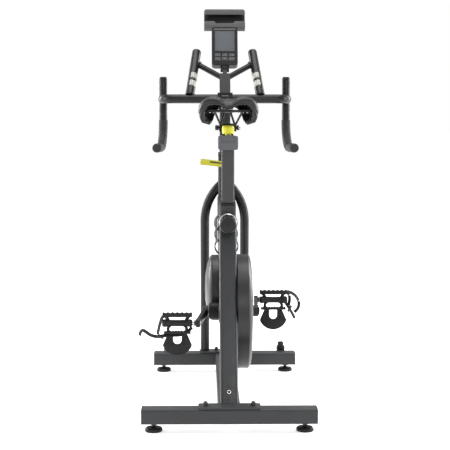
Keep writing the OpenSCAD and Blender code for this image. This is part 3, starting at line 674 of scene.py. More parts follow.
@dataclass
class CadNodes:
    """The CAD nodes that keep their shape and get a finish."""

    looks: dict[Look, tuple[str, ...]] = field(default_factory=lambda: {
        Look.FRAME: ("rear_stabilizer", "front_stabilizer", "base_beam", "mount_plates", "rear_strut",
                     "lower_post", "seat_tube", "main_beam", "head_tube", "wheel_brackets"),
        Look.POST: ("seat_post",),
        Look.GUARD: ("guard_back", "guard_cover", "flywheel_shroud"),
        Look.BAR: ("handlebar", "aero_bars", "fork_left", "fork_right", "bar_post", "crank_arm_left",
                   "crank_arm_right"),
        Look.PLASTIC: ("stabilizer_end_caps", "foot_rear_left", "foot_rear_right", "foot_front_left",
                       "foot_front_right", "post_bushings", "bottle_cage", "pedal_left", "pedal_right",
                       "seat_pin", "saddle_frame", "brake_knob", "console", "tablet_holder",
                       "bearing_housings"),
        Look.BLACK_ZINC: ("fasteners",),
        Look.STEEL: ("pin_housing", "bearings", "crank_axle", "brake_rod"),
        Look.CHROME: ("pulse_pads",),
        Look.CAST: ("flywheel",),
        Look.ALLOY: ("brake_shoe",),
        Look.RUBBER: ("wheel_left", "wheel_right", "drive_belt"),
        Look.GRIP: ("hand_grips",),
        Look.CARRIAGE: ("saddle_slider",),
        Look.LIME: ("slider_knob",),
        Look.OLIVE: ("post_lever",),
        Look.KEY: tuple(f"key_{k}" for k in range(1, 7)),
        Look.WEBBING: ("strap_left", "strap_right"),
        Look.SADDLE: ("saddle_pad",),
    })
    smooth_below: float = 34.0
    weld: float = 0.00002

    def build(self) -> None:
        """Weld, smooth and dress every CAD node."""
        for look, names in self.looks.items():
            for name in names:
                node = frame["nodes"][name]
                for polygon in node.data.polygons:
                    polygon.use_smooth = True
                weld = node.modifiers.new("weld", "WELD")
                weld.merge_threshold = self.weld
                split = node.modifiers.new("split", "EDGE_SPLIT")
                split.split_angle = math.radians(self.smooth_below)
                dress(node, look)
        log.info("%d CAD nodes dressed", sum(len(v) for v in self.looks.values()))


# ---------------------------------------------------------------- places


def joint_place(name: str) -> tuple[Vector, Vector]:
    """Return a joint's point and axis in the row frame."""
    joint = next(j for j in frame["joints"] if j["name"] == name)
    return Vector(joint["pos_m"]), Vector(joint["axis"])


def plate(outline: Sequence[tuple[float, float]], thickness: float, bevel: float, place: Matrix,
          holes: Sequence[Sequence[tuple[float, float]]] = ()) -> bmesh.types.BMesh:
    """Make a flat plate with rounded edges from closed outlines.

    Args:
        outline: (x, z) corners in metres.
        thickness: Thickness along local Y.
        bevel: Radius of the plate's edges.
        place: Local to row frame.
        holes: Closed outlines cut out of the plate.

    Returns:
        The plate as a bmesh.
    """
    curve = bpy.data.curves.new("plate", "CURVE")
    curve.dimensions = "2D"
    curve.fill_mode = "BOTH"
    curve.extrude = thickness / 2 - bevel
    curve.bevel_depth = bevel
    curve.bevel_resolution = 2
    curve.offset = -bevel
    for ring in (outline, *holes):
        spline = curve.splines.new("POLY")
        spline.points.add(len(ring) - 1)
        for target, point in zip(spline.points, ring):
            target.co = (point[0], point[1], 0.0, 1.0)
        spline.use_cyclic_u = True
    bm = bmesh.new()
    pour(bm, curve)
    bmesh.ops.remove_doubles(bm, verts=bm.verts, dist=1e-6)
    bmesh.ops.transform(bm, matrix=place @ Matrix.Rotation(math.radians(90), 4, "X"), verts=bm.verts)
    return bm


def arc(centre: tuple[float, float], radius: float, start: float, end: float,
        steps: int) -> list[tuple[float, float]]:
    """Return points on an arc between two angles in degrees, both ends included."""
    angles = [math.radians(start + (end - start) * k / steps) for k in range(steps + 1)]
    return [(centre[0] + radius * math.cos(a), centre[1] + radius * math.sin(a)) for a in angles]


def rounded_rectangle(width: float, height: float, radius: float, centre: tuple[float, float] = (0.0, 0.0)
                      ) -> list[tuple[float, float]]:
    """Return the corners of a rectangle with round corners.

    Args:
        width: Size in x.
        height: Size in z.
        radius: Corner radius.
        centre: Middle as (x, z).

    Returns:
        The points in order round the outline.
    """
    x, z = width / 2 - radius, height / 2 - radius
    corners = [((x, z), 0), ((-x, z), 90), ((-x, -z), 180), ((x, -z), 270)]
    return [point for (cx, cz), a in corners
            for point in arc((centre[0] + cx, centre[1] + cz), radius, a, a + 90, 6)]


# ---------------------------------------------------------------- saddle


def ease(value: float, low: float, high: float) -> float:
    """Return a smooth step from nought at low to one at high."""
    t = min(1.0, max(0.0, (value - low) / (high - low)))
    return t * t * (3 - 2 * t)


@dataclass
class Saddle:
    """Foam saddle with two drooping lobes, a centre dip, seams and its underside."""

    nose_half: float = 0.021
    dip: float = 0.019
    edge_drop: float = 0.040
    wall: float = 0.012
    voxel: float = 0.0042
    pressure: float = 4.0
    cap: float = 0.005
    rings: int = 26
    spokes: int = 72
    stiffness: float = 25.0
    steps: int = 20
    low: Vector = field(default_factory=lambda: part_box("saddle_pad")[0])
    high: Vector = field(default_factory=lambda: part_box("saddle_pad")[1])

    def half_width(self, t: float) -> float:
        """Return the half width from the rear (t = 0) to the nose (t = 1).

        Args:
            t: Place along the saddle.

        Returns:
            The half width in metres.
        """
        if t < 0.2:
            lobe = math.sqrt(max(0.0, 1 - (1 - t / 0.2) ** 2))
        elif t < 0.3:
            lobe = 1.0
        else:
            lobe = (1 + math.cos(math.pi * min(1.0, (t - 0.3) / 0.42))) / 2
        nose = math.sqrt(max(0.0, 1 - max(0.0, (t - 0.86) / 0.14) ** 2))
        widest = self.high.x - 0.002
        return lobe * (widest - self.nose_half) + self.nose_half * nose * min(1.0, t * 12)

    def top(self, x: float, t: float) -> float:
        """Return the height of the crown at a place across and along the saddle."""
        hump = 0.045 * (1 - 0.6 * ease(t, 0.35, 0.8))
        dip = self.dip * (1 - ease(t, 0.25, 0.75))
        channel = dip * (1 + math.cos(math.pi * min(1.0, abs(x) / hump))) / 2
        return self.high.z - 0.003 - channel - 0.006 * ease(t, 0.3, 0.6) - 0.007 * ease(t, 0.88, 1.0)

    def rim(self, x: float, t: float) -> float:
        """Return the height of the lower edge at a place on the outline."""
        flaps = ease(t, 0.045, 0.150) * (1 - ease(t, 0.34, 0.66))
        tab = 0.010 * (1 - ease(abs(x), 0.010, 0.024)) * (1 - ease(t, 0.0, 0.08))
        return self.high.z - 0.031 - tab - 0.054 * flaps - 0.010 * ease(t, 0.5, 0.9)

    def curl(self, t: float) -> float:
        """Return how far the lower edge turns inward, as a part of the half width."""
        flaps = ease(t, 0.10, 0.24) * (1 - ease(t, 0.38, 0.62))
        return 0.07 + 0.36 * flaps

    def fall(self, t: float) -> float:
        """Return how far below the crown the widest outline lies."""
        flaps = ease(t, 0.05, 0.16) * (1 - ease(t, 0.36, 0.64))
        return 0.015 + (self.edge_drop - 0.015) * flaps

    def shell_point(self, u: float, turn: float) -> Vector:
        """Return a point of the shell.

        Args:
            u: 0 on the centre line, 1 on the widest outline, 1.6 on the lower edge.
            turn: Place round the outline, from 0 at the rear through 0.5 at the nose.

        Returns:
            The point in the row frame.
        """
        side = 1.0 if turn <= 0.5 else -1.0
        along = turn * 2 if turn <= 0.5 else (1 - turn) * 2
        t = (1 - math.cos(math.pi * along)) / 2
        length = self.high.y - self.low.y - 0.004
        edge_x = side * self.half_width(t)
        edge_y = self.low.y + 0.002 + t * length
        core_y = min(max(edge_y, self.low.y + 0.060), self.high.y - 0.022)
        reach = min(u, 1.0)
        x = edge_x * reach
        y = core_y + (edge_y - core_y) * reach
        place = (y - self.low.y) / (self.high.y - self.low.y)
        z = self.top(x, place) - self.fall(t) * (1 - math.sqrt(max(0.0, 1 - reach ** 4.5)))
        if u > 1.0:
            v = (u - 1.0) / 0.6 * math.pi / 2
            x *= 1 - self.curl(t) * (1 - math.cos(v))
            y = core_y + (y - core_y) * (1 - 0.08 * (1 - math.cos(v)))
            z += (min(self.rim(edge_x, t), z - 0.004) - z) * math.sin(v)
        return Vector((x, y, z))

    def shell(self) -> bpy.types.Object:
        """Make the closed foam shell before it is filled.

        Returns:
            The shell's object.
        """
        bm = bmesh.new()
        bmesh.ops.create_grid(bm, x_segments=self.rings, y_segments=self.spokes, size=0.5)
        for vert in bm.verts:
            turn = (vert.co.y + 0.5) % 1.0 if vert.co.y < 0.4999 else 1.0
            vert.co = self.shell_point((vert.co.x + 0.5) * 1.6, turn)
        bmesh.ops.remove_doubles(bm, verts=bm.verts, dist=1e-5)
        bmesh.ops.recalc_face_normals(bm, faces=bm.faces)
        upper = max(bm.faces, key=lambda f: f.calc_center_median().z)
        if upper.normal.z < 0:
            bmesh.ops.reverse_faces(bm, faces=bm.faces)
        mesh = bpy.data.meshes.new("saddle_cushion")
        bm.to_mesh(mesh)
        bm.free()
        obj = bpy.data.objects.new("saddle_cushion", mesh)
        bpy.context.scene.collection.objects.link(obj)
        solid = obj.modifiers.new("wall", "SOLIDIFY")
        solid.thickness = self.wall
        solid.offset = -1.0
        remesh = obj.modifiers.new("remesh", "REMESH")
        remesh.mode = "VOXEL"
        remesh.voxel_size = self.voxel
        self.apply(obj)
        return obj

    def apply(self, obj: bpy.types.Object) -> None:
        """Replace an object's mesh by its modified one.

        Args:
            obj: Object whose modifiers are applied.
        """
        bpy.context.view_layer.update()
        done = bpy.data.meshes.new_from_object(obj.evaluated_get(bpy.context.evaluated_depsgraph_get()))
        obj.modifiers.clear()
        old = obj.data
        obj.data = done
        bpy.data.meshes.remove(old)

    def inflate(self, obj: bpy.types.Object) -> None:
        """Fill the cover with a short cloth simulation, and cap how far it moves.

        Args:
            obj: The cushion.
        """
        rest = [v.co.copy() for v in obj.data.vertices]
        cloth = obj.modifiers.new("cloth", "CLOTH")
        cloth.settings.use_pressure = True
        cloth.settings.uniform_pressure_force = self.pressure
        cloth.settings.effector_weights.gravity = 0.0
        cloth.settings.tension_stiffness = self.stiffness
        cloth.settings.compression_stiffness = self.stiffness
        cloth.settings.quality = 5
        cloth.point_cache.frame_end = self.steps
        for step in range(1, self.steps + 1):
            bpy.context.scene.frame_set(step)
        filled = bpy.data.meshes.new_from_object(obj.evaluated_get(bpy.context.evaluated_depsgraph_get()))
        obj.modifiers.clear()
        bpy.context.scene.frame_set(1)
        for vert, start, end in zip(obj.data.vertices, rest, filled.vertices):
            move = end.co - start
            vert.co = start + move * min(1.0, self.cap / max(move.length, 1e-9))
        bpy.data.meshes.remove(filled)

    def seam_lines(self) -> list[list[Vector]]:
        """Return the sewn lines: round the edge, and along each side of the dip.

        Returns:
            The points of each line.
        """
        edge = [self.shell_point(1.12, k / 160) for k in range(161)]
        sides = []
        for side in (-1.0, 1.0):
            line = []
            for k in range(60):
                t = 0.02 + 0.9 * k / 59
                x = side * (0.024 * (1 - ease(t, 0.3, 0.8)) + 0.008)
                y = self.low.y + t * (self.high.y - self.low.y)
                line.append(Vector((x, y, self.top(x, t))))
            sides.append(line)
        return [edge, *sides]

    def sew(self, obj: bpy.types.Object, depth: float, reach: float) -> None:
        """Press the sewn lines into the cover.

        Args:
            obj: The cushion.
            depth: Depth of a seam in metres.
            reach: Half width of the pressed strip.
        """
        points = [p for line in self.seam_lines() for a, b in zip(line, line[1:])
                  for p in (a, (a + b) / 2)]
        tree = KDTree(len(points))
        for index, point in enumerate(points):
            tree.insert(point, index)
        tree.balance()
        normals = [v.normal.copy() for v in obj.data.vertices]
        for vert, normal in zip(obj.data.vertices, normals):
            distance = tree.find(vert.co)[2]
            if distance < reach * 3:
                vert.co -= normal * depth * math.exp(-(distance / reach) ** 2)

    def build(self) -> None:
        """Make the cushion and its sewing."""
        obj = self.shell()
        self.inflate(obj)
        finer = obj.modifiers.new("finer", "SUBSURF")
        finer.levels = finer.render_levels = 1
        self.apply(obj)
        self.sew(obj, 0.0016, 0.0028)
        for polygon in obj.data.polygons:
            polygon.use_smooth = True
        fit(obj, "saddle", Look.SADDLE, ["saddle_pad"])
        self.rivets()

    def rivets(self) -> None:
        """Make the bright screws on the saddle's base."""
        bm = bmesh.new()
        base_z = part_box("saddle_frame")[1].z - 0.006
        for side in (-1, 1):
            for x, back in ((0.030, 0.030), (0.056, 0.034), (0.046, 0.068)):
                at = Vector((side * x, self.low.y + back, base_z - 0.001))
                lathe(bm, [(0, 0), (0.004, 0), (0.0045, 0.0008), (0.003, 0.0024), (0, 0.003)], at,
                      Vector((0, 0, -1)), 20)
        fit(piece_from("saddle_screws", bm), "saddle", Look.STEEL)


# ---------------------------------------------------------------- pedals


LEFT_LOOPS = (
    ((0.036, 0.0245), (0.046, 0.019), (0.0525, 0.004), (0.058, -0.018), (0.0605, -0.034), (0.057, -0.0425)),
    ((0.060, -0.043), (0.046, -0.0405), (0.020, -0.0385), (-0.012, -0.0365), (-0.034, -0.026), (-0.046,
                                                                                                -0.013)),
    ((0.052, -0.0415), (0.066, -0.0405), (0.082, -0.0355), (0.095, -0.027), (0.105, -0.0215), (0.1125,
                                                                                               -0.0255),
     (0.1165, -0.0385)),
)
RIGHT_LOOPS = (
    ((0.038, 0.0275), (0.052, 0.0275), (0.0665, 0.021), (0.081, 0.006), (0.087, -0.013), (0.0815, -0.032),
     (0.071, -0.0425)),
    ((0.034, 0.003), (0.043, -0.011), (0.052, -0.0245), (0.063, -0.043), (0.0735, -0.0625)),
    ((0.040, 0.026), (0.050, 0.022), (0.0555, 0.006), (0.0525, -0.019)),
)


@dataclass
class Pedal:
    """Cage pedal that hangs upright, with teeth, toe cage and a buckled strap."""

    side: str
    sign: float
    width: float = 0.092
    strap_width: float = 0.012
    strap_lean: float = 38.0
    loops: tuple[tuple[tuple[float, float], ...], ...] = ()
    buckle: tuple[float, float, float] = (0.055, -0.023, 35.0)

    def place(self) -> Matrix:
        """Return the local frame at the spindle."""
        point, _ = joint_place(f"pedal_{self.side}_spin")
        return Matrix.Translation(point)

    def body(self) -> None:
        """Make the moulded body: scalloped bars, barrel and curved arms."""
        half = self.width / 2
        place = self.place()
        count = 48
        wave = [(-half + 0.003 + k * (self.width - 0.006) / count,
                 0.0318 + 0.0014 * math.cos(2 * math.pi * 6 * k / count)) for k in range(count, -1, -1)]
        bm = plate([(-half, 0.0215), (-half + 0.002, 0.0190), (half - 0.002, 0.0190), (half, 0.0215),
                    (half, 0.0300), *wave, (-half, 0.0300)], 0.017, 0.0012, place)
        teeth = [(-half + 0.006 + k * (self.width - 0.012) / count,
                  -0.0245 + 0.0016 * math.cos(2 * math.pi * 9 * k / count)) for k in range(count + 1)]
        merge(bm, plate([*teeth, (half - 0.004, -0.0330), (0.004 - half, -0.0330)], 0.016, 0.0010, place))
        profile = [(0, -half - 0.001), (0.008, -half - 0.001), (0.0118, -half + 0.003), (0.0122,
                                                                                         -half + 0.010),
                   (0.0104, -half + 0.016), (0.0098, 0.0), (0.0104, half - 0.016), (0.0120, half - 0.010),
                   (0.0116, half - 0.003), (0.0090, half), (0.0075, half)]
        lathe(bm, profile, place.translation, Vector((-self.sign, 0, 0)), 40)
        for end in (-1, 1):
            upper = [(0.026, 0.004), (0.0285, 0.012), (0.034, 0.018), (0.038, 0.024)]
            lower = [(0.020, -0.006), (0.0265, -0.012), (0.0285, -0.020), (0.0265, -0.028)]
            for line in (upper, lower):
                wire(bm, [place @ Vector((end * x, 0, z)) for x, z in line], 0.0048)
        fit(piece_from(f"pedal_body_{self.side}", bm, 50), f"pedal_{self.side}", Look.PLASTIC,
            [f"pedal_{self.side}"])

    def cage(self) -> None:
        """Make the toe cage: a shield-shaped plate with a slot, ribs and two hooks."""
        half = self.width / 2
        outline = [(0.028, -0.030), (half - 0.001, -0.069), *arc((0, -0.054), 0.048, -20, -160, 18),
                   (0.001 - half, -0.069), (-0.028, -0.030)]
        slot = [(0.013, -0.034), *arc((0, -0.053), 0.013, 0, -180, 12), (-0.013, -0.034)]
        place = self.place() @ Matrix.Translation((0, 0.0078, 0))
        bm = plate(outline, 0.0034, 0.0012, place, [slot])
        for x in (-0.0165, 0.0165):
            block(bm, place @ Vector((x, -0.0025, -0.048)), Vector((0.0028, 0.003, 0.030)), bevel=0.001)
        for end in (-1, 1):
            rod(bm, place @ Vector((end * 0.030, -0.006, -0.030)), place @ Vector((end * 0.026, 0.0, -0.040)),
                0.0028, 16)
        fit(piece_from(f"toe_cage_{self.side}", bm, 50), f"pedal_{self.side}", Look.PLASTIC)

    def strap(self) -> None:
        """Make the strap's loops and tail, and its buckle."""
        origin = self.place().translation
        bm = bmesh.new()
        for loop in self.loops:
            points = [(self.sign * x, z) for x, z in loop]
            merge(bm, ribbon(points, self.strap_width, 0.0026, origin, math.radians(self.strap_lean)))
        fit(piece_from(f"strap_band_{self.side}", bm, 60), f"pedal_{self.side}", Look.WEBBING,
            [f"strap_{self.side}"])
        x, z, turn = self.buckle
        bm = bmesh.new()
        spin = Matrix.Rotation(math.radians(-self.sign * turn), 3, "Y")
        centre = origin + Vector((self.sign * x, 0, z))
        for shift in (-0.009, -0.002, 0.009):
            block(bm, centre + spin @ Vector((shift, 0, 0.001)), Vector((0.003, 0.018, 0.005)), spin, 0.001)
        for across in (-0.0085, 0.0085):
            block(bm, centre + Vector((0, across, 0)), Vector((0.022, 0.0025, 0.006)), spin, 0.001)
        fit(piece_from(f"strap_buckle_{self.side}", bm), f"pedal_{self.side}", Look.BLACK_ZINC)

    def build(self) -> None:
        """Make the whole pedal."""
        self.body()
        self.cage()
        self.strap()


@dataclass
class Cranks:
    """Dust caps on the crank axle and nuts on the pedal spindles."""

    left_cap: float = 0.0772
    right_cap: float = 0.0997
    nut_across: float = 0.016
    nut_height: float = 0.0055

    def build(self) -> None:
        """Make the dust caps and the pedal spindles' nuts."""
        bm = bmesh.new()
        axle, _ = joint_place("crank_spin")
        for side, node in ((-1, "crank_arm_left"), (1, "crank_arm_right")):
            low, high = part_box(node)
            boss = low.x if side < 0 else high.x
            reach = self.left_cap if side < 0 else self.right_cap
            start = Vector((side * reach, axle.y, axle.z))
            lathe(bm, [(0, 0), (0.011, 0), (0.0125, 0.0012), (0.0118, 0.003), (0.008, 0.0036), (0.006, 0.002),
                       (0, 0.002)], start, Vector((side, 0, 0)), 40)
            eye, _ = joint_place("pedal_left_spin" if side < 0 else "pedal_right_spin")
            hex_nut(bm, Vector((boss, eye.y, eye.z)), Vector((side, 0, 0)), self.nut_across, self.nut_height)
        fit(piece_from("crank_caps", bm), "cranks", Look.BLACK_ZINC)


# ---------------------------------------------------------------- console


@dataclass
class Console:
    """Screen, bezel, keys and tablet rest in the console's own leaning frame."""

    tilt: float = 20.0
    pivot_drop: float = 0.084
    face: float = -0.016
    length: float = 0.146
    tray_width: float = 0.148
    key_pitch: float = 0.025
    key_rows: float = 0.015
    key_top: float = -0.033

    def key_centre(self, column: int, row: int) -> tuple[float, float]:
        """Return a key's place across and up the face; column 0 is the middle one."""
        return column * self.key_pitch, self.key_top - row * self.key_rows

    def place(self) -> Matrix:
        """Return the console's local frame: Y into the face, Z up its length."""
        pivot, _ = joint_place("console_tilt")
        turn = Matrix.Rotation(math.radians(-self.tilt), 4, "X")
        return Matrix.Translation(pivot) @ turn @ Matrix.Translation((0, 0, self.pivot_drop))

    def screen(self) -> None:
        """Make the glass and the raised bezel round it."""
        at = self.place() @ Matrix.Translation((0, self.face + 0.0006, 0.022))
        bm = plate(rounded_rectangle(0.0714, 0.0754, 0.0025), 0.0007, 0.0002, at)
        fit(piece_from("console_screen", bm), "console", Look.SCREEN)
        at = self.place() @ Matrix.Translation((0, self.face - 0.0006, 0.0))
        outer = rounded_rectangle(0.0850, 0.138, 0.010)
        holes = [rounded_rectangle(0.0722, 0.0762, 0.003, (0, 0.022))]
        holes += [rounded_rectangle(0.0222, 0.0112, 0.0022, self.key_centre(x, row))
                  for x in (-1, 0, 1) for row in (0, 1)]
        bm = plate(outer, 0.0012, 0.0004, at, holes)
        fit(piece_from("console_bezel", bm), "console", Look.GLOSSY)

    def keys(self) -> None:
        """Make six rounded keys, each with a pale outline and a small plain sign."""
        signs = ("left", "bar", "right", "dot", "cross", "dot")
        for index, sign in enumerate(signs):
            column, row = index % 3 - 1, index // 3
            x, z = self.key_centre(column, row)
            at = self.place() @ Matrix.Translation((x, self.face, z))
            bm = bmesh.new()
            block(bm, Vector((0, 0.0034, 0)), Vector((0.0208, 0.0098, 0.0098)), bevel=0.0016)
            bmesh.ops.transform(bm, matrix=at, verts=bm.verts)
            body = f"key_{index + 1}"
            fit(piece_from(f"key_cap_{index + 1}", bm), body, Look.KEY, [body])
            front = at @ Matrix.Translation((0, -0.00155, 0))
            bm = plate(rounded_rectangle(0.0176, 0.0070, 0.0022), 0.0003, 0.0001, front,
                       [rounded_rectangle(0.0162, 0.0056, 0.0016)])
            for bar_x, bar_z, width, height in self.sign_bars(sign):
                bar = rounded_rectangle(width, height, min(width, height) * 0.3, (bar_x, bar_z))
                merge(bm, plate(bar, 0.0003, 0.0001, front))
            fit(piece_from(f"key_sign_{index + 1}", bm), body, Look.KEY_LINE)

    def sign_bars(self, sign: str) -> list[tuple[float, float, float, float]]:
        """Return the (x, z, width, height) bars of a key's sign.

        Args:
            sign: Name of the sign.

        Returns:
            One tuple a bar, in metres.
        """
        bars = {
            "bar": [(0, 0, 0.0050, 0.0009)],
            "cross": [(0, 0, 0.0046, 0.0009), (0, 0, 0.0009, 0.0040)],
            "dot": [(-0.0025, 0, 0.0014, 0.0014), (0.0025, 0, 0.0014, 0.0014)],
            "left": [(-0.001, 0, 0.0030, 0.0008), (-0.0026, 0, 0.0009, 0.0026)],
            "right": [(0.001, 0, 0.0030, 0.0008), (0.0026, 0, 0.0009, 0.0026)],
        }
        return bars[sign]

    def holder(self) -> None:
        """Make the tablet rest: back, hooked top band, shelf and notched lip."""
        base = self.place() @ Matrix.Translation((0, 0, self.length / 2))
        half = self.tray_width / 2
        corner, level = 0.009, 0.066
        round_top = [*arc((half - corner, level), corner, 0, 90, 8),
                     *arc((corner - half, level), corner, 90, 180, 8)]
        bm = plate([(-half, 0.001), (half, 0.001), *round_top], 0.0075, 0.0015,
                   base @ Matrix.Translation((0, 0.0142, 0)))
        shelf = bmesh.new()
        block(shelf, Vector((0, -0.0015, 0.0032)), Vector((self.tray_width - 0.001, 0.031, 0.006)),
              bevel=0.0015)
        block(shelf, Vector((0, 0.0022, 0.0725)), Vector((self.tray_width - 0.014, 0.024, 0.005)),
              bevel=0.002)
        for side in (-1, 1):
            block(shelf, Vector((side * (half - 0.0015), -0.001, 0.012)), Vector((0.003, 0.030, 0.022)),
                  bevel=0.001)
        bmesh.ops.transform(shelf, matrix=base, verts=shelf.verts)
        merge(bm, shelf)
        fit(piece_from("tablet_back", bm, 45), "console", Look.PLASTIC, ["tablet_holder"])
        band = [(-half, 0.0535), (half, 0.0535), *round_top]
        bm = plate(band, 0.0034, 0.0014, base @ Matrix.Translation((0, -0.0095, 0)))
        lip = [(-half, 0.0), (half, 0.0), (half, 0.0245), (0.038, 0.0245), (0.031, 0.0165), (-0.031, 0.0165),
               (-0.038, 0.0245), (-half, 0.0245)]
        merge(bm, plate(lip, 0.0038, 0.0012, base @ Matrix.Translation((0, -0.0165, 0))))
        merge(bm, plate(rounded_rectangle(0.060, 0.0145, 0.002, (0, 0.0083)), 0.0012, 0.0005,
                        base @ Matrix.Translation((0, -0.0188, 0))))
        fit(piece_from("tablet_grips", bm, 45), "console", Look.SATIN)

    def build(self) -> None:
        """Make the console's pieces."""
        self.screen()
        self.keys()
        self.holder()


# ---------------------------------------------------------------- small fittings


def axis_place(point: Vector, normal: Vector) -> Matrix:
    """Return a frame at a point whose Z is a normal in the YZ plane and whose X is the row's X.

    Args:
        point: Origin of the frame.
        normal: Its Z direction.

    Returns:
        The frame as a matrix.
    """
    up = normal.normalized()
    across = Vector((1, 0, 0))
    side = up.cross(across)
    turn = Matrix((across, side, up)).transposed().to_4x4()
    return Matrix.Translation(point) @ turn


@dataclass
class BarFittings:
    """Ridged pulse pads, collars and the grey clamp cap of the handlebar."""

    foot: Point = (0.125, 0.30804, 1.011)
    head: Point = (0.100, 0.42304, 1.176)
    tube: float = 0.016
    pad_starts: tuple[float, float] = (0.0345, 0.0685)
    pad_length: float = 0.024
    pad_gap: float = 0.0003
    pad_wrap: float = 58.0

    def rest_line(self, side: int) -> tuple[Vector, Vector]:
        """Return the two ends of the middle line of the left (-1) or right (1) rest."""
        mirror = Vector((side, 1, 1))
        return Vector(self.foot) * mirror, Vector(self.head) * mirror

    def pads(self) -> None:
        """Make the pulse pads: curved bright plates with long ridges, two on each rest."""
        bm = bmesh.new()
        for side in (-1, 1):
            foot, head = self.rest_line(side)
            along = (head - foot).normalized()
            facing = Vector((-side * 0.5, -1, 0.0))
            rear = (facing - along * facing.dot(along)).normalized()
            cross = along.cross(rear)
            for start in self.pad_starts:
                part = bmesh.new()
                bmesh.ops.create_grid(part, x_segments=48, y_segments=10, size=0.5)
                for vert in part.verts:
                    u, v = vert.co.x * 2, vert.co.y * 2
                    edge = max(abs(u), abs(v))
                    corner = (max(0.0, abs(u) - 0.72) ** 2 + max(0.0, abs(v) - 0.72) ** 2) ** 0.5
                    pull = 1 - 0.35 * max(0.0, corner - 0.28)
                    ridge = 0.00035 * math.cos(u * 7 * math.pi) * (1 - ease(edge, 0.80, 0.92))
                    rise = 0.0013 * (1 - ease(edge, 0.90, 1.0)) + ridge
                    turn = math.radians(self.pad_wrap) * u * pull
                    out = rear * math.cos(turn) + cross * math.sin(turn)
                    level = start + self.pad_length * (0.5 + v * pull / 2)
                    vert.co = foot + along * level + out * (self.tube + self.pad_gap + rise)
                merge(bm, part)
        obj = piece_from("pulse_plates", bm, 60)
        solid = obj.modifiers.new("thickness", "SOLIDIFY")
        solid.thickness = 0.0012
        solid.offset = -1.0
        fit(obj, "handlebar", Look.PAD, ["pulse_pads"])

    def caps(self) -> None:
        """Make the collars of the rests and of their struts, and the clamp's cap."""
        bm = bmesh.new()
        for side in (-1, 1):
            foot, head = self.rest_line(side)
            along = head - foot
            joint = foot + along * 0.72
            target = Vector((side * 0.010, 0.34404, 1.075))
            inward = (target - joint).normalized()
            lathe(bm, [(0.0102, 0.0), (0.0135, 0.0), (0.0142, 0.0010), (0.0142, 0.0030), (0.0132, 0.0042),
                       (0.0102, 0.0046)], joint + inward * 0.0165, inward, 32)
            lathe(bm, [(0.0161, 0.0), (0.0167, 0.0008), (0.0167, 0.0034), (0.0161, 0.0042)],
                  foot + along.normalized() * 0.004, along, 48)
        fit(piece_from("rest_collars", bm), "handlebar", Look.BAR)
        bm = plate([(-0.0165, -0.0075), (0.0165, -0.0075), (0.0125, 0.0075), (-0.0125, 0.0075)], 0.007,
                   0.0015,
                   Matrix.Translation((0, 0.3035 - 0.0120, 1.0045)))
        fit(piece_from("clamp_cap", bm), "handlebar", Look.LIGHT_CAP)

    def build(self) -> None:
        """Make the handlebar's fittings."""
        self.pads()
        self.caps()


@dataclass
class SeatFittings:
    """Chrome ring and screws at the pull pin, clamp nuts, and the slider's cap."""

    nut_x: float = 0.034
    clamp_z: float = 0.8965
    clamp_y: float = -0.204
    screw_rise: float = 0.0395
    screw_radius: float = 0.0036

    def build(self) -> None:
        """Make the fittings of the seat."""
        point, axis = joint_place("seat_pin_pull")
        rear = axis if axis.y < 0 else -axis
        low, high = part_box("pin_housing")
        centre = (low + high) / 2
        start = Vector((0.0, centre.y, centre.z)) + rear * 0.004
        place = axis_place(start, rear)
        up = place.to_3x3().col[1]
        up = up if up.z > 0 else -up
        bm = bmesh.new()
        lathe(bm, [(0.0125, 0.0), (0.0272, 0.0), (0.0280, 0.0010), (0.0280, 0.0030), (0.0270, 0.0040),
                   (0.0245, 0.0046), (0.0240, 0.0036), (0.0225, 0.0032), (0.0125, 0.0032)],
              start - rear * 0.0085, rear, 64)
        fit(piece_from("pull_ring", bm), "frame", Look.STEEL)
        bm = bmesh.new()
        tube_face = start - rear * 0.0128
        head = self.screw_radius
        lathe(bm, [(0, 0), (head, 0), (head, 0.001), (head * 0.7, 0.0019), (0, 0.0021)],
              tube_face + up * self.screw_rise, rear, 24)
        lathe(bm, [(0.012, 0.0), (0.014, 0.0), (0.0145, 0.0006), (0.0145, 0.008), (0.012, 0.0085)],
              start, rear, 32)
        fit(piece_from("tube_screws", bm), "frame", Look.BLACK_ZINC)
        for name, side, look in (("clamp_nut_left", -1, Look.BLACK_ZINC), ("clamp_nut_right", 1, Look.STEEL)):
            bm = bmesh.new()
            hex_nut(bm, Vector((side * self.nut_x, self.clamp_y, self.clamp_z)), Vector((side, 0, 0)), 0.0135,
                    0.0056)
            lathe(bm, [(0.0082, 0), (0.0088, 0.0003), (0.0088, 0.0012), (0.0075, 0.0016)],
                  Vector((side * (self.nut_x - 0.0002), self.clamp_y, self.clamp_z)), Vector((side, 0, 0)),
                  32)
            fit(piece_from(name, bm), "saddle", look)
        knob_low, knob_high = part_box("slider_knob")
        bm = bmesh.new()
        top = Vector((0, (knob_low.y + knob_high.y) / 2, knob_high.z))
        lathe(bm, [(0, 0.0012), (0.0070, 0.0012), (0.0092, 0.0006), (0.0100, -0.0002), (0.0060, -0.0006),
                   (0, -0.0006)], top, Vector((0, 0, 1)), 40)
        fit(piece_from("knob_cap", bm), "slider_knob", Look.OLIVE)


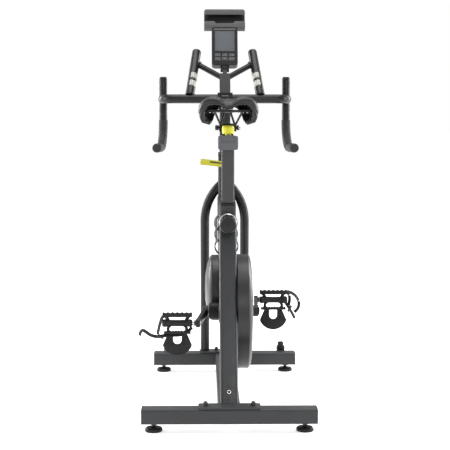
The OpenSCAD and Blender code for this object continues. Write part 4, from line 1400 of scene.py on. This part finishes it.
@dataclass
class FrameFittings:
    """Screws on the rear strut and the lever's black inlay."""

    strut_foot: tuple[float, float] = (-0.445, 0.071)
    strut_lean: float = 23.9
    levels: tuple[float, ...] = (0.088, 0.107, 0.124)

    def strut_screws(self) -> None:
        """Make three screws on the strut's rear face, the middle one with a bright ring."""
        lean = math.radians(self.strut_lean)
        rear = Vector((0, -math.cos(lean), math.sin(lean)))
        dark = bmesh.new()
        bright = bmesh.new()
        for level in self.levels:
            y = self.strut_foot[0] + (level - self.strut_foot[1]) * math.tan(lean)
            at = Vector((0, y, level)) - rear * 0.0004
            lathe(dark, [(0, 0), (0.0040, 0), (0.0043, 0.0012), (0.0034, 0.0024), (0.0018, 0.0026),
                         (0.0016, 0.0014), (0, 0.0014)], at, rear, 32)
            if level == self.levels[1]:
                lathe(bright, [(0.0044, 0), (0.0056, 0), (0.0058, 0.0006), (0.0053, 0.0013), (0.0046,
                                                                                              0.0013)],
                      at, rear, 40)
        fit(piece_from("strut_screws", dark), "frame", Look.BLACK_ZINC)
        fit(piece_from("strut_ring", bright), "frame", Look.CHROME)

    def lever_inlay(self) -> None:
        """Make the black inlay of the yellow lever."""
        point, axis = joint_place("post_lever_swing")
        rear = axis if axis.y < 0 else -axis
        place = axis_place(point, rear) @ Matrix.Rotation(math.radians(-7), 4, "Z")
        bm = bmesh.new()
        block(bm, Vector((-0.033, 0.0045, 0.0112)), Vector((0.0432, 0.0042, 0.0066)), bevel=0.0008)
        for k in range(5):
            block(bm, Vector((-0.049 + k * 0.008, 0.0045, 0.0146)), Vector((0.0016, 0.0036, 0.0010)),
                  bevel=0.0003)
        bmesh.ops.transform(bm, matrix=place, verts=bm.verts)
        fit(piece_from("lever_inlay", bm), "post_lever", Look.PLASTIC)

    def build(self) -> None:
        """Make the frame's small fittings."""
        self.strut_screws()
        self.lever_inlay()


# ---------------------------------------------------------------- stage


@dataclass
class Stage:
    """Pale floor, soft lights and the camera."""

    eye: Point = (-0.071, -3.995, 0.889)
    heading: Point = (0.01647, 1.0, -0.07864)
    lens: float = 96.64
    floor_size: float = 600.0
    floor_glow: float = 0.56
    room_strength: float = 0.5
    seen_strength: float = 1.0

    def camera(self) -> None:
        """Make the scene's camera."""
        data = bpy.data.cameras.new("camera")
        data.lens = self.lens
        data.sensor_width = 36.0
        data.clip_end = 2000.0
        cam = bpy.data.objects.new("camera", data)
        cam.location = self.eye
        cam.rotation_euler = Vector(self.heading).to_track_quat("-Z", "Y").to_euler()
        bpy.context.scene.collection.objects.link(cam)
        bpy.context.scene.camera = cam

    def floor(self) -> None:
        """Make a white floor that keeps the bike's shadow."""
        bm = bmesh.new()
        bmesh.ops.create_grid(bm, x_segments=1, y_segments=1, size=self.floor_size / 2)
        floor = piece_from("floor", bm)
        n = Nodes("floor_white")
        n.set(Roughness=0.9, Specular_IOR_Level=0.1)
        n.join(n.tint(n.noise(0.7), (0.93, 0.93, 0.93), (0.95, 0.95, 0.95)), n.shader.inputs["Base Color"])
        rays = n.add("LightPath")
        seen = n.add("Math", operation="MAXIMUM")
        n.join(rays.outputs["Is Camera Ray"], seen.inputs[0])
        n.join(rays.outputs["Is Glossy Ray"], seen.inputs[1])
        glow = n.add("Math", operation="MULTIPLY")
        glow.inputs[1].default_value = self.floor_glow
        n.join(seen.outputs[0], glow.inputs[0])
        n.shader.inputs["Emission Color"].default_value = (1, 1, 1, 1)
        n.join(glow.outputs[0], n.shader.inputs["Emission Strength"])
        floor.data.materials.append(n.material)

    def world(self) -> None:
        """Make a dim even room that the camera sees as white."""
        world = bpy.data.worlds.new("room")
        world.use_nodes = True
        tree = world.node_tree
        background = tree.nodes["Background"]
        background.inputs["Color"].default_value = (1, 1, 1, 1)
        rays = tree.nodes.new("ShaderNodeLightPath")
        seen = tree.nodes.new("ShaderNodeMapRange")
        seen.inputs["To Min"].default_value = self.room_strength
        seen.inputs["To Max"].default_value = self.seen_strength
        tree.links.new(rays.outputs["Is Camera Ray"], seen.inputs["Value"])
        tree.links.new(seen.outputs["Result"], background.inputs["Strength"])
        bpy.context.scene.world = world

    def light(self, name: str, place: Point, target: Point, size: tuple[float, float], power: float) -> None:
        """Add one soft rectangular lamp that faces a target.

        Args:
            name: Name of the lamp.
            place: Where it hangs.
            target: What it faces.
            size: Width and height in metres.
            power: Watts.
        """
        data = bpy.data.lights.new(name, "AREA")
        data.shape = "RECTANGLE"
        data.size, data.size_y = size
        data.energy = power
        lamp = bpy.data.objects.new(name, data)
        lamp.location = place
        lamp.rotation_euler = (Vector(target) - Vector(place)).to_track_quat("-Z", "Y").to_euler()
        bpy.context.scene.collection.objects.link(lamp)

    def build(self) -> None:
        """Make the whole stage."""
        scene = bpy.context.scene
        scene.view_settings.view_transform = "Standard"
        self.camera()
        self.floor()
        self.world()
        waist = (0, 0, 0.7)
        self.light("top", (0.0, 0.1, 3.2), (0, 0, 0.5), (2.2, 2.2), 62.0)
        self.light("left", (-3.2, -0.2, 1.4), waist, (0.8, 2.4), 62.0)
        self.light("right", (3.2, 0.0, 1.4), waist, (0.8, 2.4), 56.0)
        self.light("rim_left", (-2.6, 2.2, 1.5), waist, (0.7, 2.2), 70.0)
        self.light("rim_right", (2.6, 2.2, 1.5), waist, (0.7, 2.2), 70.0)
        self.light("rear", (0.8, -4.2, 2.4), waist, (1.4, 1.2), 34.0)


def main() -> None:
    """Build the bike's pieces in order."""
    logging.basicConfig(level=logging.INFO, format="%(message)s")
    Stage().build()
    CadNodes().build()
    Saddle().build()
    Pedal("left", -1.0, loops=LEFT_LOOPS, buckle=(0.053, -0.043, 12.0)).build()
    Pedal("right", 1.0, loops=RIGHT_LOOPS, buckle=(0.055, -0.030, 60.0)).build()
    Cranks().build()
    Console().build()
    BarFittings().build()
    SeatFittings().build()
    FrameFittings().build()


if __name__ == "__main__":
    main()
